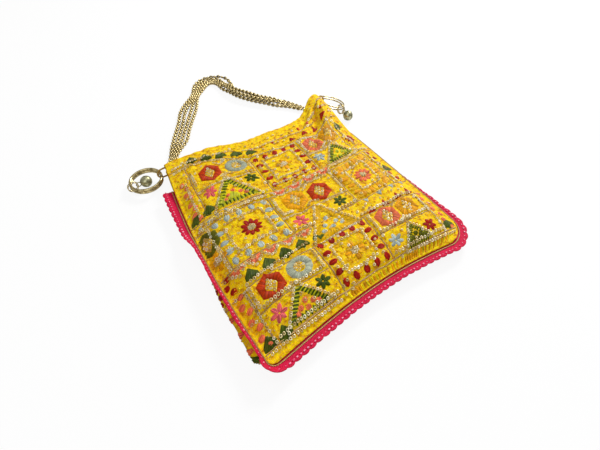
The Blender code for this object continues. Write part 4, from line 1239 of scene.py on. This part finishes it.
def build_lace_spots():
    """A shiny spot at each half scallop."""
    line, out, along, tilt = lace_frame(SCALLOP / 2)
    across = SPOT_PLACE * lace_width(along / along[-1])
    wave = ruffle(along, across)
    centre = lace_place(line, out, tilt, across, 0.0006 + wave)
    side = lace_place(line, out, tilt, across + 0.001, 0.0006 + wave) - centre
    up = lace_place(line, out, tilt, across, 0.0016 + wave) - centre
    way = np.cross(side, up)
    around = 8
    rings = (1.0, 0.0), (0.75, 0.55), (0.3, 0.9)  # share of the width, share of the height
    verts, faces = [], []
    for c, a, b, w in zip(centre, side * 1000, up * 1000, way * 1e6):
        start = len(verts)
        w = w / np.linalg.norm(w)
        size = RANDOM.uniform(0.45, 1.05)
        for ring, lift in rings:
            for k in range(around):
                angle = math.tau * k / around
                spread = a * SPOT[0] * math.cos(angle) + w * SPOT[1] * math.sin(angle)
                verts.append(c + size * (spread * ring + b * SPOT[2] * lift))
        walls = grid_faces(len(rings), around, closed_columns=True)
        faces += [[start + k for k in face] for face in walls]
        faces.append([start + 2 * around + k for k in range(around)])
        faces.append([start + around - 1 - k for k in range(around)])
    make_piece("lace_spots", verts, faces, [pearl_material()], "bag")


# Wires


def square_to(way, across):
    """Two directions square to each of the ways, the first of them square to across too."""
    side = np.cross(way, across)
    side /= np.linalg.norm(side, axis=1)[:, None]
    return side, np.cross(side, way)


def ways_round(points):
    """The direction of a closed line at each of its points."""
    way = np.roll(points, -1, axis=0) - np.roll(points, 1, axis=0)
    return way / np.linalg.norm(way, axis=1)[:, None]


def sweep(points, radius, sides, across):
    """Vertices and faces of a round wire along a closed line."""
    side, up = square_to(ways_round(points), across)
    angles = math.tau * np.arange(sides) / sides
    rings = points[:, None] + radius * (np.cos(angles)[None, :, None] * side[:, None]
                                        + np.sin(angles)[None, :, None] * up[:, None])
    faces = grid_faces(len(points), sides, closed_rows=True, closed_columns=True)
    return rings.reshape(-1, 3), faces


def circle(middle, first, second, radius, count):
    """Points of a circle from two square directions."""
    angles = math.tau * np.arange(count) / count
    return np.asarray(middle) + radius * (np.cos(angles)[:, None] * first + np.sin(angles)[:, None] * second)


def gather(parts):
    """Several vertex and face lists as one."""
    verts, faces, count = [], [], 0
    for part_verts, part_faces in parts:
        verts.append(part_verts)
        faces += [[k + count for k in face] for face in part_faces]
        count += len(part_verts)
    return np.vstack(verts), faces


def node_frame(node):
    """A ring node's middle, its two flat axes and its own axis, and its radius to the outside."""
    points = np.array([v.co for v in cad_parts[node].data.vertices])
    middle = (points.min(axis=0) + points.max(axis=0)) / 2
    _, _, axes = np.linalg.svd(points - points.mean(axis=0), full_matrices=False)
    return middle, axes, np.linalg.norm(points - middle, axis=1).max()


# Radius of the wire in the frame, points round the ring, sides of the wire
WIRE = {"pull": (0.00125, 72, 14), "jump": (0.0005, 36, 9), "chain": (0.0009, 40, 10)}
THINNER = {"right_pull": 0.62, "left_jump": 0.8}  # shares of that radius


def build_rings():
    """Smooth wires in place of the frame's faceted rings."""
    for node, body in (
        ("left_pull_ring_lower", "left_rings"), ("left_pull_ring_upper", "left_rings"),
        ("right_pull_ring_lower", "right_rings"), ("right_pull_ring_upper", "right_rings"),
        ("left_jump_ring_1", "left_bell"), ("left_jump_ring_2", "left_bell"),
        ("right_jump_ring_1", "right_bell"), ("right_jump_ring_2", "right_bell"),
        ("left_chain_ring", "handle"), ("right_chain_ring", "handle"),
    ):
        wire, around, sides = WIRE[node.split("_")[1]]
        middle, axes, reach = node_frame(node)
        points = circle(middle, axes[0], axes[1], reach - wire, around)
        thin = THINNER.get("_".join(node.split("_")[:2]), 1.0)
        verts, faces = sweep(points, wire * thin, sides, axes[2])
        make_piece(f"{node}_wire", verts, faces, [BRASS], body, node)


BELL_RADIUS = 0.0055
BELL_RIM = 0.00022
BELL_GROOVE = 0.00010
BELL_INSET = 0.00015  # leaves room for the rim in the frame's sphere
BELL_WALL = 0.00055
SLOT_WIDTH = 0.0013
EYE_RADIUS = 0.0023
EYE_WIRE = 0.0005
EYE_SUNK = 0.0007


def bell_axes(prefix, shell):
    """A bell's middle, its axis away from the hook, the slot's narrow direction and its long one."""
    low, high = (np.array(corner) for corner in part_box(shell))
    jumps = [node_frame(f"{prefix}_jump_ring_{k}")[0] for k in (1, 2)]
    hook = (jumps[0] + jumps[1]) / 2
    middle = (low + high) / 2
    # The box holds the eye too, so the sphere is measured from the side that faces away from it
    if prefix == "left":
        middle[0] = high[0] - BELL_RADIUS
    else:
        middle[1] = low[1] + BELL_RADIUS
    axis = middle - hook
    axis /= np.linalg.norm(axis)
    tangent = jumps[1] - jumps[0]
    tangent -= axis * (tangent @ axis)
    tangent /= np.linalg.norm(tangent)
    return middle, axis, tangent, np.cross(axis, tangent)


def build_bell(prefix):
    """A round bell: two pressed halves with a rim, a long slot, an eye and a pellet."""
    shell = f"{prefix}_bell_shell"
    middle, axis, tangent, across = bell_axes(prefix, shell)
    columns, rows = 40, 30
    rings = []
    for k in range(1, rows):
        angle = math.pi * k / rows
        rim = BELL_RIM * math.exp(-(((angle - math.pi / 2) / 0.07) ** 2))
        groove = -BELL_GROOVE * math.exp(-(((angle - 2.35) / 0.05) ** 2))
        radius = (BELL_RADIUS - BELL_INSET + rim + groove) * math.sin(angle)
        up = -BELL_RADIUS * math.cos(angle)
        rings.append(circle(middle + axis * up, tangent, across, radius, columns))
    verts = np.vstack(rings + [middle - axis * BELL_RADIUS, middle + axis * BELL_RADIUS])
    faces = grid_faces(len(rings), columns, closed_columns=True)
    last = (len(rings) - 1) * columns
    tail = len(rings) * columns
    faces += [[tail, (k + 1) % columns, k] for k in range(columns)]
    faces += [[tail + 1, last + k, last + (k + 1) % columns] for k in range(columns)]
    flat = (verts - middle) @ np.stack([tangent, across, axis], axis=1)
    slot = (np.abs(flat[:, 0]) < SLOT_WIDTH / 2) & (np.abs(flat[:, 1]) < BELL_RADIUS * 0.84)
    slot &= flat[:, 2] > 0.0020
    faces = [f for f in faces if not all(slot[k] for k in f)]
    body = f"{prefix}_bell"
    solidify(make_piece(body, verts, faces, [BELL_METAL], body, shell), BELL_WALL)
    eye = circle(middle - axis * (BELL_RADIUS + EYE_RADIUS - EYE_SUNK), axis, across, EYE_RADIUS, 28)
    verts, faces = sweep(eye, EYE_WIRE, 8, tangent)
    make_piece(f"{prefix}_bell_eye", verts, faces, [BELL_METAL], body)
    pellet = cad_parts[f"{prefix}_bell_pellet"]
    pellet.data.materials.clear()
    pellet.data.materials.append(BELL_METAL)


# Chain

CHAIN_LINK = 0.0053
LINK_RADIUS = 0.00195
LINK_WIRE = 0.00100
LINK_POINTS, LINK_SIDES = 14, 7

# Places on the chain's way, from the left ring, from the middle of both and from the right ring
CHAIN_LEFT = (0.016, 0.022), (0.027, 0.035), (0.048, 0.064), (0.067, 0.089), (0.086, 0.111)
CHAIN_APEX = (0.014, 0.124), (0.026, 0.127), (0.035, 0.119)
CHAIN_RIGHT = (-0.050, 0.099), (-0.048, 0.080), (-0.042, 0.063), (-0.030, 0.044), (-0.014, 0.026)
CHAIN_Z = 0.0025
RING_REACH = 0.0054  # from a chain ring's middle to the first link's
STRAND_PITCH = 0.0045
STRAND_END = 0.42  # share of its width that the bundle keeps at its ends
STRAND_TAPER = 0.045
# Shares of the length over which the two middle strands climb on the others, and come down
TWIST_START = 0.60, 0.70
TWIST_END = 0.84, 0.93


def box_middle(node):
    """The middle of a node's box, seen from above."""
    low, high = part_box(node)
    return ((np.array(low) + np.array(high)) / 2)[:2]


def chain_line():
    """The handle's middle line between its two end rings."""
    left, right = box_middle("left_chain_ring"), box_middle("right_chain_ring")
    middle = (left + right) / 2
    points = [left + p for p in np.array(CHAIN_LEFT)] + [middle + p for p in np.array(CHAIN_APEX)]
    points += [right + p for p in np.array(CHAIN_RIGHT)]
    first = left + RING_REACH * (points[0] - left) / np.linalg.norm(points[0] - left)
    last = right + RING_REACH * (points[-1] - right) / np.linalg.norm(points[-1] - right)
    points = [first, *points, last]
    points = [2 * points[0] - points[1]] + points + [2 * points[-1] - points[-2]]
    line = []
    for a, b, c, d in zip(points, points[1:], points[2:], points[3:]):
        for q in np.arange(12) / 12:
            bend = (2 * a - 5 * b + 4 * c - d) * q**2 + (3 * b - a - 3 * c + d) * q**3
            line.append(b + ((c - a) * q + bend) / 2)
    line.append(points[-2])
    return np.array(line)


# Where strands part from the others, and the loose outer one past the apex: strands, start, end, reach
PARTINGS = (
    ((0, 1), 0.22, 0.37, 0.0011),
    ((3,), 0.05, 0.20, 0.0008),
    ((0,), 0.53, 0.70, 0.0058),
    ((0, 1), 0.68, 0.84, 0.0022),
)
# Where the bundle narrows or widens: share, span, change of its width
PINCHES = ((0.41, 0.045, -0.45), (0.29, 0.06, 0.12), (0.62, 0.03, -0.25))


def strand_offset(strand, share):
    """Sideways and upward place of a strand at a share of the handle's length."""
    side = -1 if strand < 2 else 1
    twist = smooth_step(*TWIST_START, share) * (1 - smooth_step(*TWIST_END, share)) * math.pi / 2
    if strand in (0, 3):
        across, up = side * (0.5 + np.cos(twist)), np.zeros(len(share))
    else:
        across, up = side * 0.5 * np.ones(len(share)), np.sin(twist)
    return across * STRAND_PITCH, up * STRAND_PITCH


def strand_points(strand, line):
    """Places half a link apart along one strand, and the share of its width that the bundle keeps there."""
    lengths = lengths_along(line)
    total = lengths[-1]
    count = round(total / (CHAIN_LINK / 2)) + 1
    at = np.linspace(0, total, count)
    place = np.stack([np.interp(at, lengths, line[:, k]) for k in (0, 1)], axis=1)
    way = directions(place)
    thin = mix(STRAND_END, 1.0, smooth_step(0.0, STRAND_TAPER, np.minimum(at, total - at)))
    across, up = strand_offset(strand, at / total)
    for strands, start, end, reach in PARTINGS:
        if strand in strands:
            share = np.clip((at / total - start) / (end - start), 0, 1)
            across = across + (-1 if strand < 2 else 1) * reach * np.sin(math.pi * share) ** 2
    pinch = sum(c * np.exp(-(((at / total - middle) / span) ** 2)) for middle, span, c in PINCHES)
    across = across * (1 + pinch)
    across = across * thin + 0.0002 * noise(at / MM, np.full(count, 9.0 * strand), 14.0, 51)
    x, y = place[:, 0] + way[:, 1] * across, place[:, 1] - way[:, 0] * across
    return np.column_stack([x, y, CHAIN_Z + up]), thin


def build_link(here, ahead, roll, size):
    """One round link, and how far out each of its points lies, for its polish and patina and its painted
    highlight and shade.
    """
    level = np.cross(ahead, (0, 0, 1.0))
    level /= np.linalg.norm(level)
    side = math.cos(roll) * level + math.sin(roll) * np.cross(level, ahead)
    ring = circle(here, ahead * 1.02, side * 0.93, (LINK_RADIUS - LINK_WIRE * 0.55) * size, LINK_POINTS)
    verts, faces = sweep(ring, LINK_WIRE * size, LINK_SIDES, np.cross(ahead, side))
    away = verts - here
    out = np.linalg.norm(away - np.outer(away @ ahead, ahead), axis=1)
    return verts, faces, out / (size * LINK_RADIUS * 1.2)


def build_chain():
    """Four strands of round links, each link turned a quarter from the last."""
    line = even_points(chain_line() / MM, 0.5) * MM
    for strand in range(4):
        points, thin = strand_points(strand, line)
        parts, patina_and_shade_tones = [], []
        for k, here in enumerate(points[:-1]):
            ahead = points[k + 1] - points[max(k - 1, 0)]
            ahead /= np.linalg.norm(ahead)
            roll = math.radians(45 if k % 2 else -45) + 0.08 * math.sin(1.7 * k + strand)
            size = mix(0.75, 1.0, (thin[k] - STRAND_END) / (1 - STRAND_END))
            verts, faces, tone = build_link(here, ahead, roll, size)
            parts.append((verts, faces))
            patina_and_shade_tones.append(tone)
        verts, faces = gather(parts)
        stitch = np.zeros((len(verts), 3))
        # each link's tone paints highlight on its outer flanks and shade in its hollows, with polish and
        # patina
        stitch[:, 2] = np.concatenate(patina_and_shade_tones)
        make_piece(f"strand_{strand + 1}_links", verts, faces, [LINK_BRASS], "handle",
                   f"chain_strand_{strand + 1}", stitch=stitch)


# Cord and tabs

LOOP_OUT = 0.0095
CORD_RADIUS = 0.0009
CORD_LAY = 0.0036  # length of one turn of the plies
PLY_OFFSET = 0.00042
PLY_RADIUS = 0.00048


def cord_route():
    """The frame's cord as a closed line, how far along it each point lies, and its whole length."""
    casing = np.linspace(-1, 1, 90)
    x, y = plan(casing, np.ones(90))
    high = np.stack([x, y, hem_top(casing) - CASING_HEIGHT / 2], axis=1)
    low = np.stack([x, y, np.full(90, CASING_HEIGHT / 2)], axis=1)
    bends = []
    for side, top, bottom in ((1, high[-1], low[-1]), (-1, high[0], low[0])):
        angles = np.linspace(math.pi / 2, -math.pi / 2, 34)[1:-1]
        reach = side * (LOOP_OUT - CORD_RADIUS) * np.sqrt(np.cos(angles))
        z = (top[2] + bottom[2]) / 2 + (top[2] - bottom[2]) / 2 * np.sin(angles)
        bends.append(np.stack([top[0] + reach, np.full(len(angles), top[1]), z], axis=1))
    route = np.concatenate([high, bends[0], low[::-1], bends[1][::-1]])
    closed = np.vstack([route, route[:1]])
    lengths = lengths_along(closed)
    at = np.linspace(0, lengths[-1], 900)[:-1]
    return np.stack([np.interp(at, lengths, closed[:, k]) for k in range(3)], axis=1), at, lengths[-1]


def build_drawstring():
    """A twisted cord of three plies along the frame's cord."""
    route, at, total = cord_route()
    side, up = square_to(ways_round(route), (0, 1, 0))
    parts, stitch = [], []
    turns = round(total / CORD_LAY)
    for ply in range(3):
        angle = math.tau * (turns * np.arange(len(route)) / len(route) + ply / 3)
        centre = route + PLY_OFFSET * (np.cos(angle)[:, None] * side + np.sin(angle)[:, None] * up)
        verts, faces = sweep(centre, PLY_RADIUS, 6, (0, 1, 0))
        parts.append((verts, faces))
        along, around = np.repeat(at, 6) / MM, np.tile(np.arange(6) * 0.5, len(route))
        stitch.append(np.stack([along, around, 0 * along], axis=1))
    verts, faces = gather(parts)
    make_piece("drawstring_cord", verts, faces, [CORD], "bag", "drawstring",
               stitch=np.vstack(stitch))


TAB_HOLE = 0.00175  # radius


def build_tab(prefix):
    """A folded loop of the same cloth, with softened edges."""
    node = f"{prefix}_chain_tab"
    low, high = (np.array(v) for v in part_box(node))
    middle = (low + high) / 2
    outer, inner, width = (high[2] - low[2]) / 2, TAB_HOLE, (high[0] - low[0]) / 2
    step, soft = 0.0001, 0.0003
    section = [(-width, inner), (-width, outer - step), (-width + soft, outer), (width - soft, outer),
               (width, outer - step), (width, inner), (0.0, inner)]
    around = 36
    verts = []
    for k in range(around):
        angle = math.tau * k / around
        for along, radius in section:
            verts.append(middle + (along, radius * math.cos(angle), radius * math.sin(angle)))
    faces = grid_faces(around, len(section), closed_rows=True, closed_columns=True)
    make_piece(f"{prefix}_tab_cloth", verts, faces, [YELLOW_CLOTH], "bag", node)


# Stage

FLOOR_SIZE = 12.0
FLOOR_GLOW = 0.9  # share of the floor that the camera sees as plain white
SKY_LIGHT = 0.36
LAMPS = (  # name, place, size, power
    ("key", (0.95, 0.45, 0.76), 0.3, 15.0),
    ("fill", (-0.7, -0.5, 0.9), 0.8, 2.6),
    ("top", (0.0, 0.0, 1.3), 0.6, 2.4),
)


def floor_material():
    """White that takes shadows, mixed for the camera with a glow that hides its edge."""
    material = bpy.data.materials.new("white_floor")
    material.use_nodes = True
    tree = material.node_tree
    shader = tree.nodes["Principled BSDF"]
    shader.inputs["Base Color"].default_value = (0.9, 0.9, 0.9, 1)
    shader.inputs["Roughness"].default_value = 0.8
    glow = tree.nodes.new("ShaderNodeEmission")
    glow.inputs["Strength"].default_value = 1.0
    path = tree.nodes.new("ShaderNodeLightPath")
    share = tree.nodes.new("ShaderNodeMath")
    share.operation = "MULTIPLY"
    share.inputs[1].default_value = FLOOR_GLOW
    blend = tree.nodes.new("ShaderNodeMixShader")
    tree.links.new(path.outputs["Is Camera Ray"], share.inputs[0])
    tree.links.new(share.outputs[0], blend.inputs[0])
    tree.links.new(shader.outputs[0], blend.inputs[1])
    tree.links.new(glow.outputs[0], blend.inputs[2])
    tree.links.new(blend.outputs[0], tree.nodes["Material Output"].inputs[0])
    return material


def build_floor():
    """A large square under the pouch, for its shadow only."""
    half = FLOOR_SIZE / 2
    corners = [(-half, -half, 0), (half, -half, 0), (half, half, 0), (-half, half, 0)]
    mesh = bpy.data.meshes.new("floor")
    mesh.from_pydata(corners, [], [(0, 1, 2, 3)])
    mesh.materials.append(floor_material())
    floor = bpy.data.objects.new("floor", mesh)
    floor.location.z = -GAP
    bpy.context.collection.objects.link(floor)


def build_lamps():
    """Soft square lamps that all face the pouch."""
    for name, place, size, power in LAMPS:
        light = bpy.data.lights.new(name, "AREA")
        light.size = size
        light.energy = power
        lamp = bpy.data.objects.new(name, light)
        lamp.location = place
        lamp.rotation_euler = (-Vector(place)).to_track_quat("-Z", "Y").to_euler()
        bpy.context.collection.objects.link(lamp)


def build_camera():
    """The photograph's camera."""
    camera = bpy.data.objects.new("camera", bpy.data.cameras.new("camera"))
    camera.location = CAMERA_AT
    camera.rotation_euler = (math.radians(90 - CAMERA_PITCH), 0, math.radians(-CAMERA_TURN))
    camera.data.sensor_width = SENSOR
    camera.data.lens = LENS
    camera.data.clip_start = 0.01
    bpy.context.collection.objects.link(camera)
    bpy.context.scene.camera = camera
    bpy.context.scene.view_settings.view_transform = "Standard"


def build_world():
    """White where the camera sees it and dimmer as a light."""
    world = bpy.data.worlds.new("plain_world")
    bpy.context.scene.world = world
    world.use_nodes = True
    tree = world.node_tree
    sky = tree.nodes["Background"]
    sky.inputs["Color"].default_value = (1, 1, 1, 1)
    path = tree.nodes.new("ShaderNodeLightPath")
    level = tree.nodes.new("ShaderNodeMapRange")
    level.inputs["To Min"].default_value = SKY_LIGHT
    level.inputs["To Max"].default_value = 1.0
    tree.links.new(path.outputs["Is Camera Ray"], level.inputs["Value"])
    tree.links.new(level.outputs[0], sky.inputs["Strength"])


def build():
    """All pieces, then what belongs to the picture only."""
    for prefix, surface, hem, outside, rows, columns in (
        ("front", front, front_hem_middle, 1, 200, 180), ("back", back, back_hem_middle, -1, 130, 120)
    ):
        cloth = Stitching()
        embroider_rows(cloth)
        embroider_bands(cloth)
        embroider_ground(cloth)
        build_panel(prefix, surface, hem, outside, rows, columns, cloth)
    build_lining()
    build_lace()
    build_gold_thread()
    build_lace_spots()
    build_drawstring()
    build_rings()
    for prefix in ("left", "right"):
        build_bell(prefix)
        build_tab(prefix)
    build_chain()
    build_floor()
    build_world()
    build_lamps()
    build_camera()


build()
